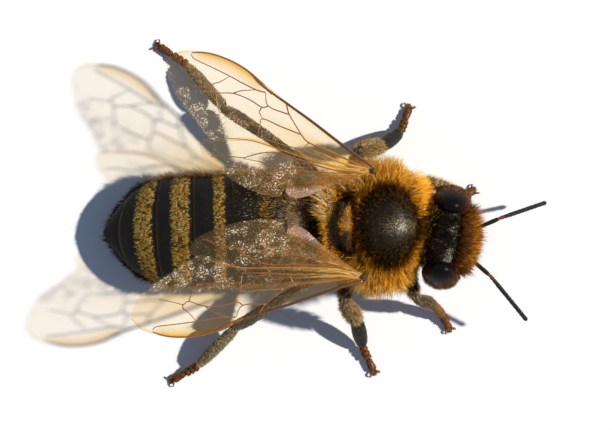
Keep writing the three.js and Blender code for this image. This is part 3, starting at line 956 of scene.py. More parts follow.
# Legs: the joints run hip, trochanter, knee, ankle, heel and toe.
legJoints = {
    "fore_left": [(1.2, 0.55, 1.2), (1.45, 1.15, 1.05), (2.16, 1.58, 2.3), (3.08, 1.12, 1.1),
                  (3.38, 1.02, 0.34), (3.62, 1.2, 0.18)],
    "fore_right": [(1.2, -0.55, 1.2), (1.2, -1.4, 1.05), (1.5, -2.75, 2.1), (2.19, -2.98, 1.05),
                   (2.56, -3.4, 0.34), (2.76, -3.8, 0.18)],
    "mid_left": [(-0.3, 0.8, 1.1), (-0.75, 1.7, 1.3), (-0.62, 2.78, 3.1), (0.2, 2.87, 1.4),
                 (1.0, 3.46, 0.34), (1.27, 4.24, 0.18)],
    "mid_right": [(-0.3, -0.8, 1.1), (-1.0, -1.65, 1.3), (-1.15, -2.85, 3.05), (-0.67, -3.54, 1.4),
                  (-0.44, -4.57, 0.34), (-0.06, -5.4, 0.18)],
    "hind_left": [(-1.2, 0.65, 1.1), (-1.9, 1.25, 1.15), (-2.95, 2.55, 2.3), (-5.62, 4.36, 0.95),
                  (-7.0, 5.98, 0.34), (-7.98, 6.62, 0.18)],
    "hind_right": [(-1.2, -0.65, 1.1), (-1.9, -1.25, 1.15), (-2.75, -2.3, 2.3), (-5.2, -3.88, 0.95),
                   (-6.58, -5.3, 0.34), (-7.44, -5.78, 0.18)],
}
onEdge = math.radians(64)  # the broad parts of the hind legs stand on edge
legSizes = {
    "fore": {"femur": ([0.34, 0.48, 0.5, 0.44, 0.34], [0.34, 0.46, 0.48, 0.4, 0.32], 0),
             "tibia": ([0.3, 0.4, 0.46, 0.46, 0.36], [0.28, 0.38, 0.42, 0.4, 0.32], 0),
             "basitarsus": ([0.28, 0.36, 0.36, 0.3], [0.26, 0.32, 0.3, 0.26], 0)},
    "mid": {"femur": ([0.36, 0.52, 0.56, 0.5, 0.38], [0.36, 0.5, 0.52, 0.46, 0.36], 0),
            "tibia": ([0.3, 0.44, 0.52, 0.52, 0.4], [0.3, 0.42, 0.48, 0.46, 0.38], 0),
            "basitarsus": ([0.32, 0.5, 0.56, 0.54, 0.46, 0.3], [0.28, 0.38, 0.4, 0.38, 0.32, 0.26], 0)},
    "hind": {"femur": ([0.38, 0.56, 0.62, 0.52, 0.38], [0.36, 0.52, 0.56, 0.48, 0.36], 0),
             "tibia": ([0.3, 0.5, 0.74, 0.92, 0.96], [0.28, 0.3, 0.28, 0.26, 0.22], onEdge),
             "basitarsus": ([0.74, 0.86, 0.86, 0.78, 0.5], [0.24, 0.26, 0.26, 0.24, 0.22], onEdge)},
}
# How amber each part is along its length, and at its far end.
legTones = {
    "fore": {"femur": (0.05, 0.3), "tibia": (0.3, 0.5), "basitarsus": (0.62, 0.85)},
    "mid": {"femur": (0.04, 0.3), "tibia": (0.3, 0.66), "basitarsus": (0.06, 0.72)},
    "hind": {"femur": (0.06, 0.3), "tibia": (0.22, 0.5), "basitarsus": (0.38, 0.72)},
}
hipSizes = ([0.5, 0.62, 0.58, 0.42], [0.5, 0.6, 0.56, 0.4])
spurSizes = {"length": 0.28, "spread": 0.16, "out": 0.12, "half": 0.025}
foot = {
    "rings": (0.17, 0.17, 0.17, 0.49),  # how the foot's length is shared out
    "ringWidths": [0.2624, 0.304, 0.32, 0.2816],
    "lastWidths": [0.22, 0.25, 0.28, 0.34],  # of the last, which carries the claws
    "flatness": 0.86,
    "gap": 0.03,  # between rings
    "toeHeight": 0.13,
    "reach": 0.08,  # past the toe
    "clawSpread": 0.2,
    "clawLength": 0.24,
    "padHalfSizes": (0.1, 0.12, 0.065),
}
legParts = ("coxa", "femur", "tibia", "basitarsus", "foot")


def paintLeg(tree):
    fine = noise(tree, 0.05)
    blotch = noise(tree, 0.35)
    stops = [(0.0, "0c0b09"), (0.28, "26241c"), (0.5, "4f3c20"), (0.72, "8a561d"), (1.0, "54260f")]
    spread = times(tree, sums(tree, "SUBTRACT", blotch, 0.5), 0.3)
    base = ramp(tree, plus(tree, value(tree, "tone"), spread), stops)
    rough = ranged(tree, fine, 0.22, 0.45)
    return {"Base Color": base, "Roughness": rough, "Normal": dented(tree, fine, 0.006, 0.6)}


legLook = surface("leg_shell", paintLeg, Specular_IOR_Level=0.18)
footLook = surface("foot_shell", paintLeg, Specular_IOR_Level=0.18)


def legSpans(joints):  # where each part of a leg starts and ends
    places = [np.array(joint) for joint in joints]
    return dict(zip(legParts, zip(places, places[1:])))


def shareAlong(places, start, end):
    along = np.asarray(end, float) - start
    return (places - start) @ along / (along @ along)


def makeFoot(name, heel, toe):
    toe = np.array([toe[0], toe[1], foot["toeHeight"]])
    along = unit(toe - heel)
    length = np.linalg.norm(toe - heel) + foot["reach"]
    parts = []
    at = 0.02
    for number, share in enumerate(foot["rings"], 1):
        start = heel + along * at * length
        end = heel + along * min(at + share - foot["gap"], 1.0) * length
        widths = foot["lastWidths"] if number == len(foot["rings"]) else foot["ringWidths"]
        thicks = np.array(widths) * foot["flatness"]
        parts.append(limb(start, end, widths, thicks, rows=10, sides=14, past=0.015))
        at += share
    level = unit(np.array([along[0], along[1], 0]))
    across = np.array([-level[1], level[0], 0])
    tip = heel + along * length
    spread, clawLength = foot["clawSpread"], foot["clawLength"]
    for side in (1, -1):
        ends = [tip, tip + across * side * 0.12 + level * 0.08 + (0, 0, 0.05),
                tip + across * side * spread + level * clawLength * 0.55 + (0, 0, 0.02),
                tip + across * side * spread * 0.92 + level * clawLength * 0.8]
        ends[-1][2] = 0.012
        shares = np.linspace(0, 1, 12)
        thin = 0.04 * (1 - shares) ** 0.7 + 0.005
        parts.append(tube(through(ends, shares), thin, thin))
    padMiddle = tip + level * 0.09
    padHeight = foot["padHalfSizes"][2]
    parts.append(ball((padMiddle[0], padMiddle[1], padHeight), foot["padHalfSizes"], rows=12, sides=16))
    places, faces = joined(parts)
    places[:, 2] = np.maximum(places[:, 2], 0.0)
    tone = 0.92 - 0.3 * above(shareAlong(places, heel, tip), 1.02, 0.1)
    addPiece(f"foot_{name}", (places, faces), footLook, (f"leg_{name}_tarsus",), {"tone": tone})
    return places, faces


def makeSpurs(name, ankle, heel):
    along = unit(heel - ankle)
    shares = np.linspace(0, 1, 8)
    half = spurSizes["half"] * (1 - shares) + 0.004
    spurs = []
    for side in (1, -1) if name.startswith("mid") else (1,):
        across = unit(np.cross(along, (0, 0, 1))) * side
        run = along * spurSizes["length"] + across * spurSizes["spread"]
        path = ankle + np.outer(shares, run) + across * spurSizes["out"]
        spurs.append(tube(path, half, half, sides=6))
    spur = joined(spurs)
    addPiece(f"leg_{name}_spur", spur, footLook, values=evenTone(spur, 0.7))


def makeLeg(name, joints):
    spans = legSpans(joints)
    kind = name.split("_")[0]
    hip, trochanter = spans["coxa"]
    knuckle = ball(trochanter, (0.2, 0.2, 0.2), rows=12, sides=16)
    shapes = {"coxa": joined([limb(hip, trochanter, *hipSizes), knuckle])}
    addPiece(f"leg_{name}_coxa", shapes["coxa"], legLook, values=evenTone(shapes["coxa"], 0.1))
    outside = np.sign(spans["femur"][1][1])
    for part in ("femur", "tibia", "basitarsus"):
        start, end = spans[part]
        widths, thicks, tilt = legSizes[kind][part]
        bow = np.array([0, outside * 0.03, 0.05]) * (part == "femur") if kind != "hind" else (0, 0, 0.04)
        shape = limb(start, end, widths, thicks, tilt, bow, rows=26, sides=24)
        nearTone, farTone = legTones[kind][part]
        tone = mix(nearTone, farTone, above(shareAlong(shape[0], start, end), 0.86, 0.12))
        look, slot = (footLook, "foot") if part == "basitarsus" else (legLook, "leg")
        addPiece(f"leg_{name}_{part}_shell", shape, look, (f"leg_{name}_{part}",), {"tone": tone})
        shapes[part] = shape
    makeSpurs(name, *spans["basitarsus"])
    shapes["foot"] = makeFoot(name, *spans["foot"])
    return shapes


legs = {name: makeLeg(name, joints) for name, joints in legJoints.items()}
print("legs made")


# Wings: clear membranes with raised veins. A place on a wing is how far it lies along the wing from
# the root and how far behind the line through the root.
wing = {
    "thickness": 0.014,
    "left": {"root": (-0.11, 2.02, 4.13), "heading": 150.9, "droop": 5.8, "lift": 4.5, "side": 1},
    "right": {"root": (-0.48, -1.98, 4.13), "heading": 190.4, "droop": 2.6, "lift": 5.2, "side": -1},
    "ripple": 0.02,
    "drop": {"fore": 0.0, "hind": -0.06},
    "columns": 30,
    "notch": (2.3, 2.65),  # between the two lobes of the hindwing
    "scaleAt": (-0.02, 0.05, -0.02),  # the small plate over the forewing's root
    "scaleHalfSizes": (0.15, 0.1, 0.07),
    # How much of the membrane hides what is behind it, where it is brown, filmy, pink or painted with gold
    # glint streaks.
    "covers": {"clear": 0.025, "amber": 0.16, "patches": 0.08, "film": 0.02, "rose": 0.26, "paintedGlintStreak": 0.62},
    "mostCover": 0.9,
}
wingEdges = {
    "fore": (
        [(0, -0.12), (1.05, -0.22), (2.8, -0.48), (4.75, -0.78), (5.8, -0.97), (6.7, -0.99), (7.5, -0.82),
         (8.3, -0.42), (8.65, 0.05)],
        [(0, 0.1), (0.4, 0.36), (1.4, 0.68), (3.0, 1.0), (4.4, 1.27), (5.4, 1.82), (5.85, 1.93), (6.8, 1.53),
         (7.7, 1.12), (8.4, 0.55), (8.65, 0.05)],
    ),
    "hind": (
        [(0, 0.06), (0.6, 0.3), (1.4, 0.54), (3.0, 0.88), (4.4, 1.14), (5.3, 1.62), (5.95, 1.95),
         (6.05, 2.25)],
        [(0, 0.2), (0.3, 0.45), (0.75, 0.95), (1.25, 1.5), (1.7, 2.1), (2.05, 2.34), (2.38, 2.3), (2.48, 2.1),
         (2.55, 2.55), (3.1, 2.78), (4.3, 2.86), (5.6, 2.62), (6.05, 2.25)],
    ),
}
# Each vein: half its width, how amber it is (0 is dark brown), and its course.
wingVeins = {
    "fore": [
        (0.056, 0.24, [(0, -0.09), (1.05, -0.2), (2.8, -0.46), (3.8, -0.58), (4.8, -0.7), (5.8, -0.95)]),
        (0.04, 0.5, [(5.0, -0.76), (5.8, -0.95), (6.6, -0.97), (7.4, -0.82), (7.95, -0.55)]),
        (0.055, 0.45, [(4.6, -0.66), (4.85, -0.7), (5.2, -0.76), (5.5, -0.85)]),
        (0.027, 0.55, [(4.85, -0.57), (5.2, -0.49), (5.8, -0.46), (6.3, -0.46), (7.1, -0.42), (7.75, -0.38),
                      (7.95, -0.48)]),
        (0.029, 0.55, [(3.97, -0.58), (3.67, -0.28), (2.93, 0.15)]),
        (0.03, 0.5, [(0, -0.02), (0.5, 0.08), (1.7, 0.2), (2.55, 0.27), (2.93, 0.15)]),
        (0.026, 0.55, [(3.67, -0.28), (4.5, -0.18), (4.85, -0.57)]),
        (0.025, 0.55, [(4.5, -0.18), (4.7, -0.03), (5.25, -0.05), (5.88, 0.04), (6.43, 0.32), (6.66, 0.25),
                      (7.0, 0.4), (7.5, 0.6)]),
        (0.024, 0.55, [(5.88, 0.04), (5.65, -0.19), (5.17, -0.51)]),
        (0.024, 0.55, [(6.66, 0.25), (6.69, 0.1), (6.51, -0.1), (6.3, -0.44)]),
        (0.025, 0.55, [(4.7, -0.03), (4.68, 0.18), (4.45, 0.33)]),
        (0.027, 0.6, [(2.93, 0.15), (3.7, 0.25), (4.45, 0.33), (4.42, 0.6), (4.32, 0.99)]),
        (0.021, 0.55, [(4.4, 0.65), (5.26, 0.81), (6.0, 0.88)]),
        (0.021, 0.55, [(6.43, 0.32), (6.29, 0.56), (6.0, 0.88)]),
        (0.02, 0.6, [(2.54, 0.27), (2.6, 0.55)]),
        (0.022, 0.6, [(0, 0.03), (0.5, 0.2), (1.5, 0.42), (2.6, 0.62), (3.5, 0.85), (4.35, 1.0)]),
        (0.026, 0.65, [(0, 0.06), (0.45, 0.32), (1.45, 0.62), (2.2, 0.82), (3.0, 0.96), (4.3, 1.2),
                       (5.4, 1.66)]),
        (0.015, 0.9, [(0.1, 0.02), (1.0, 0.3), (1.9, 0.4)]),  # folds from the root, pale gold partly their own colour and partly a painted glint
        (0.014, 0.9, [(0.15, 0.08), (0.9, 0.44), (1.5, 0.6)]),
    ],
    "hind": [
        (0.028, 0.5, [(0, 0.1), (0.5, 0.42), (1.3, 0.72), (2.2, 0.93), (3.27, 1.12), (3.83, 1.42),
                      (4.2, 1.75), (4.4, 1.94), (5.07, 2.23), (5.45, 2.49)]),
        (0.022, 0.55, [(0, 0.14), (0.5, 0.5), (1.3, 0.86), (2.16, 1.26), (2.66, 1.37), (3.35, 1.65),
                       (3.84, 1.78), (4.37, 1.96)]),
        (0.02, 0.6, [(2.95, 1.02), (2.72, 1.38)]),
        (0.018, 0.5, [(0.3, 0.4), (1.2, 1.2), (1.9, 1.75), (2.5, 2.1)]),
        # A fold from the root, pale gold partly its own colour and partly a painted glint.
        (0.014, 0.9, [(0.1, 0.14), (0.8, 0.66), (1.6, 0.94)]),
    ],
}


def wingTurn(pose):
    angles = (pose["side"] * pose["lift"], pose["droop"], pose["heading"])
    return np.array(Euler([math.radians(angle) for angle in angles], "XYZ").to_matrix())


def onWing(pose, u, w, z):
    local = np.stack([u, pose["side"] * w, z], -1)
    return local @ wingTurn(pose).T + np.array(pose["root"])


def fromWing(pose, places):
    local = (places - np.array(pose["root"])) @ wingTurn(pose)
    return local[:, 0], local[:, 1] * pose["side"], local[:, 2]


def rippleAt(u, w):
    return wing["ripple"] * (np.sin(w * 8.5 + u * 0.6) + 0.5 * np.sin(u * 2.3 - w * 3.0)) * ease(u / 1.5)


def edgeAt(points, u):
    curve = through(points, np.linspace(0, 1, 400))
    order = np.argsort(curve[:, 0])
    return np.interp(u, curve[order, 0], curve[order, 1])


def membrane(kind, pose):
    front, back = wingEdges[kind]
    tip = front[-1][0]
    rows = [np.linspace(0, tip, 110), tip * (1 - np.linspace(0, 0.5, 40) ** 3)]  # closer near the tip
    if kind == "hind":
        rows.append(np.linspace(*wing["notch"], 16))
    u = np.unique(np.concatenate(rows))
    share = np.linspace(0, 1, wing["columns"])
    lead = edgeAt(front, u)
    trail = np.maximum(edgeAt(back, u), lead + 0.002)
    w = mix(lead[:, None], trail[:, None], share)
    u = np.repeat(u[:, None], len(share), 1)
    z = rippleAt(u, w) + wing["drop"][kind]
    half = wing["thickness"] / 2 * (1 - 0.8 * np.abs(2 * share - 1) ** 8)
    rings = [onWing(pose, u, w, z + half), onWing(pose, u, w, z - half)[:, ::-1]]
    return loft(np.concatenate(rings, axis=1))


# How amber a membrane is, and on its upper face how filmy, how pink and how strongly gold glint streaks are
# painted.
def membraneValues(kind, pose, places):
    front, back = wingEdges[kind]
    u, w, z = fromWing(pose, places)
    upper = z > rippleAt(u, w) + wing["drop"][kind]
    fromLead = w - edgeAt(front, u)
    toTrail = edgeAt(back, u) - w
    if kind == "fore":
        marginal = above(u, 4.9, 0.4) * below(u, 8.0, 0.5) * below(fromLead, 0.5, 0.12)
        amber = np.exp(-u / 1.5) * mix(0.25, 1, above(w, -0.1, 0.3))
        amber = amber + marginal * (0.08 + 0.75 * np.exp(-fromLead / 0.13))
        amber = amber + 0.2 * hump(fromLead, 0.0, 0.12) + 0.2 * hump(toTrail, 0, 0.1) * below(u, 5.4, 1.0)
        film = 0.08 + 0.3 * above(u, 2.6, 0.6) * above(w, 0.3, 0.3)
        film = film + 1.1 * above(u, 4.4, 0.8) * above(w, 0.5, 0.5)
        rose = 0 * u
    else:
        amber = 0.95 * np.exp(-u / 1.2) + 0.03
        rose = below(u, 2.5, 0.15) * above(u, 0.5, 0.5) * above(w - 0.62 * u, 0.55, 0.25)
        inner = above(u, 2.2, 0.4) * below(u, 4.9, 0.6) * above(w, 1.1, 0.4)
        film = np.maximum(0.15 + 1.1 * inner, rose)
    fan = w / (u + 0.6)  # pleats that spread from the root
    pleats = above(np.sin(fan * 66 + 3 * np.sin(fan * 31)), 0.05, 0.6) * np.exp(-((u / 2.2) ** 2))
    pleats = pleats * (1.0 if kind == "fore" else 0.4)
    # Painted glint: gold streaks along the pleats near the root.
    paintedGlintStreak = pleats * above(fan, 0.02, 0.06) * mix(0.6, 1, ease(np.sin(u * 7 + fan * 40)))
    onTop = {"film": film, "rose": rose, "paintedGlintStreak": paintedGlintStreak}
    return {"amber": np.clip(amber, 0, 1), **{key: numbers * upper for key, numbers in onTop.items()}}


def veins(kind, pose):
    parts, tones = [], []
    level = wingTurn(pose)[:, 2]
    for half, amber, course in wingVeins[kind]:
        shares = np.linspace(0, 1, 8 * len(course))
        u, w = through(course, shares).T
        path = onWing(pose, u, w, rippleAt(u, w) + wing["drop"][kind])
        thin = 1 - 0.45 * shares * ease(u / 5)
        vein = tube(path, half * thin, half * 0.8 * thin, level, sides=8)
        rootGlow = 0.2 * (amber > 0.2) * np.exp(-fromWing(pose, vein[0])[0])
        parts.append(vein)
        tones.append(amber + rootGlow)
    return joined(parts), {"tone": np.clip(np.concatenate(tones), 0, 1)}


# Clear skin that tints what lies behind it, with a thin gloss, painted glitter specks and painted gold glint
# streaks.
def membraneSurface():
    material = bpy.data.materials.new("wing_membrane")
    material.use_nodes = True
    tree = material.node_tree
    gloss = tree.nodes["Principled BSDF"]
    amber, film, rose = value(tree, "amber"), value(tree, "film"), value(tree, "rose")
    paintedGlintStreak = value(tree, "paintedGlintStreak")
    crinkle = noise(tree, 0.055, detail=1, roughness=0.5)
    wave = noise(tree, 0.4, detail=2)
    hue = noise(tree, 0.16, detail=1)
    patches = ranged(tree, noise(tree, 0.4, detail=1), 0.04, 1.0, 0.44, 0.6)
    tint = ramp(tree, amber, [(0.0, "fdf9f0"), (0.5, "f6dea0"), (1.0, "f2c664")])  # on each of two faces
    clear = put(tree, "BsdfTransparent", {"Color": tint})
    # Painted glints: pale pink, white and green specks on the film stand for the membrane's glitter.
    speck = ranged(tree, crinkle, 0.0, 0.85, 0.57, 0.64)
    paintedGlitter = times(tree, speck, times(tree, film, patches))
    skinColour = ramp(tree, amber, [(0.0, "dcb678"), (0.5, "f0ac3c"), (1.0, "f0a018")])
    skinColour = blend(tree, times(tree, rose, 0.9), skinColour, colour("e8b49c"))
    # Painted glint: gold streaks near the root.
    skinColour = blend(tree, paintedGlintStreak, skinColour, colour("ffbc34"))
    paintedSparkColour = ramp(tree, hue, [(0.36, "f0a8b0"), (0.46, "fff6e6"), (0.56, "f6f2dc"), (0.64, "a8e0b8")])
    tree.links.new(blend(tree, speck, skinColour, paintedSparkColour), gloss.inputs["Base Color"])
    tree.links.new(dented(tree, wave, 0.03, 0.6, dented(tree, crinkle, 0.02, 0.3)), gloss.inputs["Normal"])
    gloss.inputs["Roughness"].default_value = 0.16
    gloss.inputs["Specular IOR Level"].default_value = 0.9
    covers = wing["covers"]
    cover = ranged(tree, amber, covers["clear"], covers["amber"])
    layers = {"patches": times(tree, film, patches), "film": film, "rose": rose, "paintedGlintStreak": paintedGlintStreak}
    for key, layer in layers.items():
        cover = plus(tree, cover, times(tree, layer, covers[key]))
    share = sums(tree, "MINIMUM", plus(tree, cover, paintedGlitter), wing["mostCover"])
    both = put(tree, "MixShader", {0: share, 1: clear.outputs[0], 2: gloss.outputs[0]})
    tree.links.new(both.outputs[0], tree.nodes["Material Output"].inputs["Surface"])
    return material


def paintVein(tree):
    grain = noise(tree, 0.08)
    stops = [(0.0, "2a1407"), (0.3, "5a300c"), (0.6, "a8661a"), (1.0, "ffd268")]
    base = ramp(tree, value(tree, "tone"), stops)
    base = blend(tree, times(tree, grain, 0.3), base, colour("4a2c0a"))
    return {"Base Color": base, "Normal": dented(tree, grain, 0.01, 0.4)}


membraneLook = membraneSurface()
veinLook = surface("wing_vein", paintVein, Roughness=0.26, Specular_IOR_Level=0.5)


def makeWings():
    for name in ("left", "right"):
        pose = wing[name]
        for kind in ("fore", "hind"):
            whole = f"{kind}wing_{name}"
            shape = membrane(kind, pose)
            values = membraneValues(kind, pose, shape[0])
            addPiece(f"{whole}_membrane", shape, membraneLook, (whole,), values)
            shape, values = veins(kind, pose)
            addPiece(f"{whole}_veins", shape, veinLook, values=values)
        root = onWing(pose, *np.array(wing["scaleAt"]))
        scale = ball(root, wing["scaleHalfSizes"], yaw=math.radians(pose["heading"]))
        addPiece(f"tegula_{name}", scale, footLook, values=evenTone(scale, 0.42))


makeWings()
print("wings made")


# The coat: every hair is a thin three-sided spike that bends as it grows, and hairs draw together in
# tufts. A hair's patch on the OFBake map lies at its root's place on an unrolling of what it grows from.
coat = {
    "patch": 0.003,
    "mostTriangles": 199000,  # in one piece
    "tipShare": 0.3,
    "rootDepth": 0.02,
    "ceiling": 4.82,  # no hair stands higher
}


def strandPattern(rings):
    faces, corners = [], []
    tip = 3 * rings
    for ring in range(rings):
        low, high = ring / rings, (ring + 1) / rings
        for side in range(3):
            here, beside = 3 * ring + side, 3 * ring + (side + 1) % 3
            left, right = side / 3, (side + 1) / 3
            if ring == rings - 1:
                faces.append((here, beside, tip))
                corners.append(((left, low), (right, low), ((left + right) / 2, high)))
            else:
                faces += [(here, beside, beside + 3), (here, beside + 3, here + 3)]
                corners.append(((left, low), (right, low), (right, high)))
                corners.append(((left, low), (right, high), (left, high)))
    faces.append((0, 2, 1))
    corners.append(((0, 0), (2 / 3, 0), (1 / 3, 0.1)))
    return np.array(faces), np.array(corners)


# Roots spread over a shape by area and by a weight that depends on place and direction.
def scatter(shape, count, weigh):
    places, faces = shape
    a, b, c = (places[faces[:, i]] for i in range(3))
    across = np.cross(b - a, c - a)
    weights = np.linalg.norm(across, axis=1) * np.maximum(weigh((a + b + c) / 3, unit(across)), 0)
    picked = luck.choice(len(faces), count, p=weights / weights.sum())
    one, two = luck.random((2, count, 1))
    root = np.sqrt(one)
    spots = (1 - root) * a[picked] + root * (1 - two) * b[picked] + root * two * c[picked]
    normals = pointNormals(shape)[faces[picked]].mean(axis=1)
    return spots, unit(normals)


def strands(roots, starts, ends, lengths, thicks, rings):
    count = len(roots)
    shares = np.arange(rings) / rings * (1 - coat["tipShare"] / rings)
    level = unit(np.cross(starts, unit(luck.normal(size=(count, 3)))))
    third = np.cross(unit(starts), level)
    rows = []
    for share in shares:
        middle = roots + lengths[:, None] * (starts * share + (ends - starts) * share * share / 2)
        for side in range(3):
            angle = side * 2 * math.pi / 3
            outward = level * math.cos(angle) + third * math.sin(angle)
            rows.append(middle + outward * (thicks * (1 - 0.55 * share ** 1.5) / 2)[:, None])
    rows.append(roots + lengths[:, None] * (starts + ends) / 2)
    places = np.stack(rows, axis=1)
    faces, corners = strandPattern(rings)
    allFaces = (faces[None] + (np.arange(count) * (3 * rings + 1))[:, None, None]).reshape(-1, 3)
    along = np.append(np.repeat(shares, 3), 1.0)
    return (places.reshape(-1, 3), allFaces), np.tile(along, count), corners


# Wings lie over the coat, so hairs that would come through a wing are left out.
def clearOfWings(roots, tips):
    clear = np.ones(len(roots), bool)
    for name in ("left", "right"):
        u, w, z = fromWing(wing[name], tips)
        rootZ = fromWing(wing[name], roots)[2]
        within = (u > -0.1) & (u < 6.5) & (w > -0.5 - 0.06 * u) & (w < 1.0 + 0.35 * u)
        clear &= ~(within & (z > -0.1) & (rootZ < 0.1))
    return clear


# Hairs that share a cell draw together: the way from each root to its tuft's middle, and what the
# tuft has of its own.
def tufts(roots, size):
    wavy = roots + 0.35 * size * np.sin(roots[:, [1, 2, 0]] / size * 1.7)
    which = np.unique(np.floor(wavy / size), axis=0, return_inverse=True)[1].ravel()
    number = which.max() + 1
    middles = np.stack([np.bincount(which, roots[:, axis], number) for axis in range(3)], 1)
    middles = middles / np.bincount(which, minlength=number)[:, None]
    return middles[which] - roots, luck.normal(size=(number, 3))[which], luck.normal(size=number)[which]


# What a stretch of coat has: hairs with a root, a lie, how upright they stand, a length and a tone.
def hairs(roots, normals, lie, stand, lengths, tones, spots):
    count = len(roots)
    flat = {"stand": stand, "lengths": lengths, "tones": tones}
    return {"roots": roots, "normals": normals, "lie": unit(lie), "spots": spots,
            **{key: np.array(np.broadcast_to(numbers, count), float) for key, numbers in flat.items()}}


def together(batches):
    return {key: np.concatenate([batch[key] for batch in batches]) for key in batches[0]}


def growCoat(name, grown, slot="coat", look=None, *, thick, rings=2, wild=0.16, spread=(0.7, 1.12),
             tuft=0.13, gather=0.6, toneSpread=0.05):
    roots, lie = grown["roots"], grown["lie"]
    count = len(roots)
    toMiddle, tuftLean, tuftTone = tufts(roots, tuft)
    jitter = (luck.normal(size=roots.shape) + tuftLean) * wild
    stand = grown["stand"][:, None]
    starts = unit(grown["normals"] * stand + lie * (1 - stand) + jitter)
    lengths = np.maximum(grown["lengths"] * luck.uniform(*spread, count), 0.03)
    ends = unit(starts + lie * 0.6 + toMiddle * (2 * gather / lengths)[:, None])
    rise = lengths * (starts + ends)[:, 2] / 2
    room = np.clip((coat["ceiling"] - roots[:, 2]) / np.maximum(rise, 0.01), 0.15, 1)
    lengths = lengths * room
    tips = roots + lengths[:, None] * (starts + ends) / 2
    keep = clearOfWings(roots, tips) & (tips[:, 2] > 0.02)
    tones = np.clip(grown["tones"] + tuftTone * toneSpread, 0, 1)
    thicks = thick * luck.uniform(0.7, 1.2, count)
    chance = luck.random(count)
    shape, along, corners = strands((roots - starts * coat["rootDepth"])[keep], starts[keep], ends[keep],
                                    lengths[keep], thicks[keep], rings)
    if len(shape[1]) > coat["mostTriangles"]:
        raise ValueError(f"{name} has {len(shape[1])} triangles")
    each = 3 * rings + 1
    values = {"tone": np.repeat(tones[keep], each), "along": along, "chance": np.repeat(chance[keep], each)}
    patches = grown["spots"][keep][:, None, None, :] + (corners[None] - 0.5) * coat["patch"]
    addPiece(name, shape, look or coatLook, values=values, patches=patches.reshape(-1, 2))
    print(name, keep.sum(), "hairs,", len(shape[1]), "triangles")


def hairSurface(name, stops, lighter=0.12):  # how much lighter its tips are
    def paintHair(tree):
        along, chance = value(tree, "along"), value(tree, "chance")
        drift = times(tree, sums(tree, "SUBTRACT", chance, 0.5), 0.22)
        lift = times(tree, along, lighter)
        tones = ramp(tree, plus(tree, plus(tree, value(tree, "tone"), drift), lift), stops)
        # Painted shade: each hair darkens towards its root, where the coat shades it.
        depth = ranged(tree, along, 0.5, 1.0, 0.0, 0.5)
        grey = put(tree, "CombineColor", {0: depth, 1: depth, 2: depth}).outputs[0]
        return {"Base Color": blend(tree, 1.0, tones, grey, "MULTIPLY")}
    return surface(name, paintHair, Roughness=0.55, Specular_IOR_Level=0.06)


legToneStops = [(0.0, "17110c"), (0.25, "3f2b16"), (0.5, "7d5a30"), (0.75, "b8925c"), (1.0, "e3cd98")]
coatLook = hairSurface("coat_hair", toneStops)
faceHairLook = hairSurface("face_hair", toneStops, 0.3)
legHairLook = hairSurface("leg_hair", legToneStops)
bandToneStops = [(0.0, "0c0b09"), (0.3, "3c2c10"), (0.6, "e29e30"), (0.8, "ffca4c"), (1.0, "fae08c")]
bandHairLook = hairSurface("band_hair", bandToneStops)


# Unrollings: a root's place on the OFBake map is its way round an axis and its share along it.
def unrolled(across, up, share):
    around = np.arctan2(across, up) / (2 * math.pi) + 0.5
    return np.clip(np.stack([around, share], 1), 0.01, 0.99)


def unrollTrunk(places):
    x, y, z = places.T
    return unrolled(y, z - 2.75, (x + 3.2) / 5.6)


def unrollHead(places):
    x, y, z = fromHead(places).T
    return unrolled(y, x, (z + 1.6) / 3.4)


def unrollAbdomen(places):
    x, y, z = fromBody(places).T
    return unrolled(y, z - abdomenAt(x)[1], (x + 10.4) / 8.2)


# The dark patch: short pile flecked with gold, thin where the patch gleams, where more gold hairs are a
# painted sheen.
# Each coat's "grow" entry is what growCoat is told: how thick, wild and gathered its hairs are, and how much
# their lengths vary.
patchCoat = {
    "hairs": 30000,
    "length": (0.09, 0.18),  # in the middle and on its edge
    "stand": 0.42,
    "pile": 0.1,
    "gold": 0.48,
    "grow": {"thick": 0.013, "rings": 1, "wild": 0.22, "spread": (0.6, 1.2), "tuft": 0.1, "gather": 0.3},
}


def growPatch():
    def weigh(places, normals):
        x, y = fromBody(places)[:, :2].T
        thin = 1 - 0.6 * bareAndPaintedGlintAt(places)
        furrow = 1 - 0.95 * furrowAt(x, y)
        upper = onThorax(places) * above(normals[:, 2], 0.1, 0.3)
        return upper * below(patchAt(places), 1.3, 0.3) * thin * furrow

    roots, normals = scatter(skin, patchCoat["hairs"], weigh)
    count = len(roots)
    edge = patchAt(roots) + luck.normal(size=count) * 0.07
    tones = mix(patchCoat["pile"], thoraxTone(roots), above(edge, 0.86, 0.24))
    # Gold flecks, plus a painted sheen: many more gold hairs where the patch gleams.
    golden = luck.random(count) < 0.03 + 0.08 * above(edge, 0.6, 0.4) + 0.3 * bareAndPaintedGlintAt(roots)
    tones = np.where(golden & (edge < 1), patchCoat["gold"], tones)
    lie = np.stack([-np.ones(count), roots[:, 1] * 0.3, np.full(count, 0.1)], 1)
    lengths = mix(*patchCoat["length"], above(edge, 0.5, 0.5))
    grown = hairs(roots, normals, lie, patchCoat["stand"], lengths, tones, unrollTrunk(roots))
    growCoat("coat_scutum", grown, **patchCoat["grow"])


# Long golden fur round the patch, down the sides and over the scutellum.
fringeCoat = {
    "hairs": {"left": 11500, "right": 11500, "rear": 9000},
    "length": (0.3, 0.74),  # beside the patch and on the flanks
    # What the length is multiplied by in some places.
    "shares": {"low": 0.45, "front": 0.68, "rightRear": 0.5, "right": 1.4, "rightFront": 0.7},
    "stand": (0.62, 0.5),
    "saddleLength": 0.16,
    "rearEdge": -1.82,  # behind this the back is nearly bare
    "leftRearTone": 0.2,  # added
    "toneScatter": 0.1,
    "grow": {"thick": 0.02, "rings": 3, "wild": 0.22, "spread": (0.45, 1.2), "tuft": 0.15, "gather": 0.7},
}


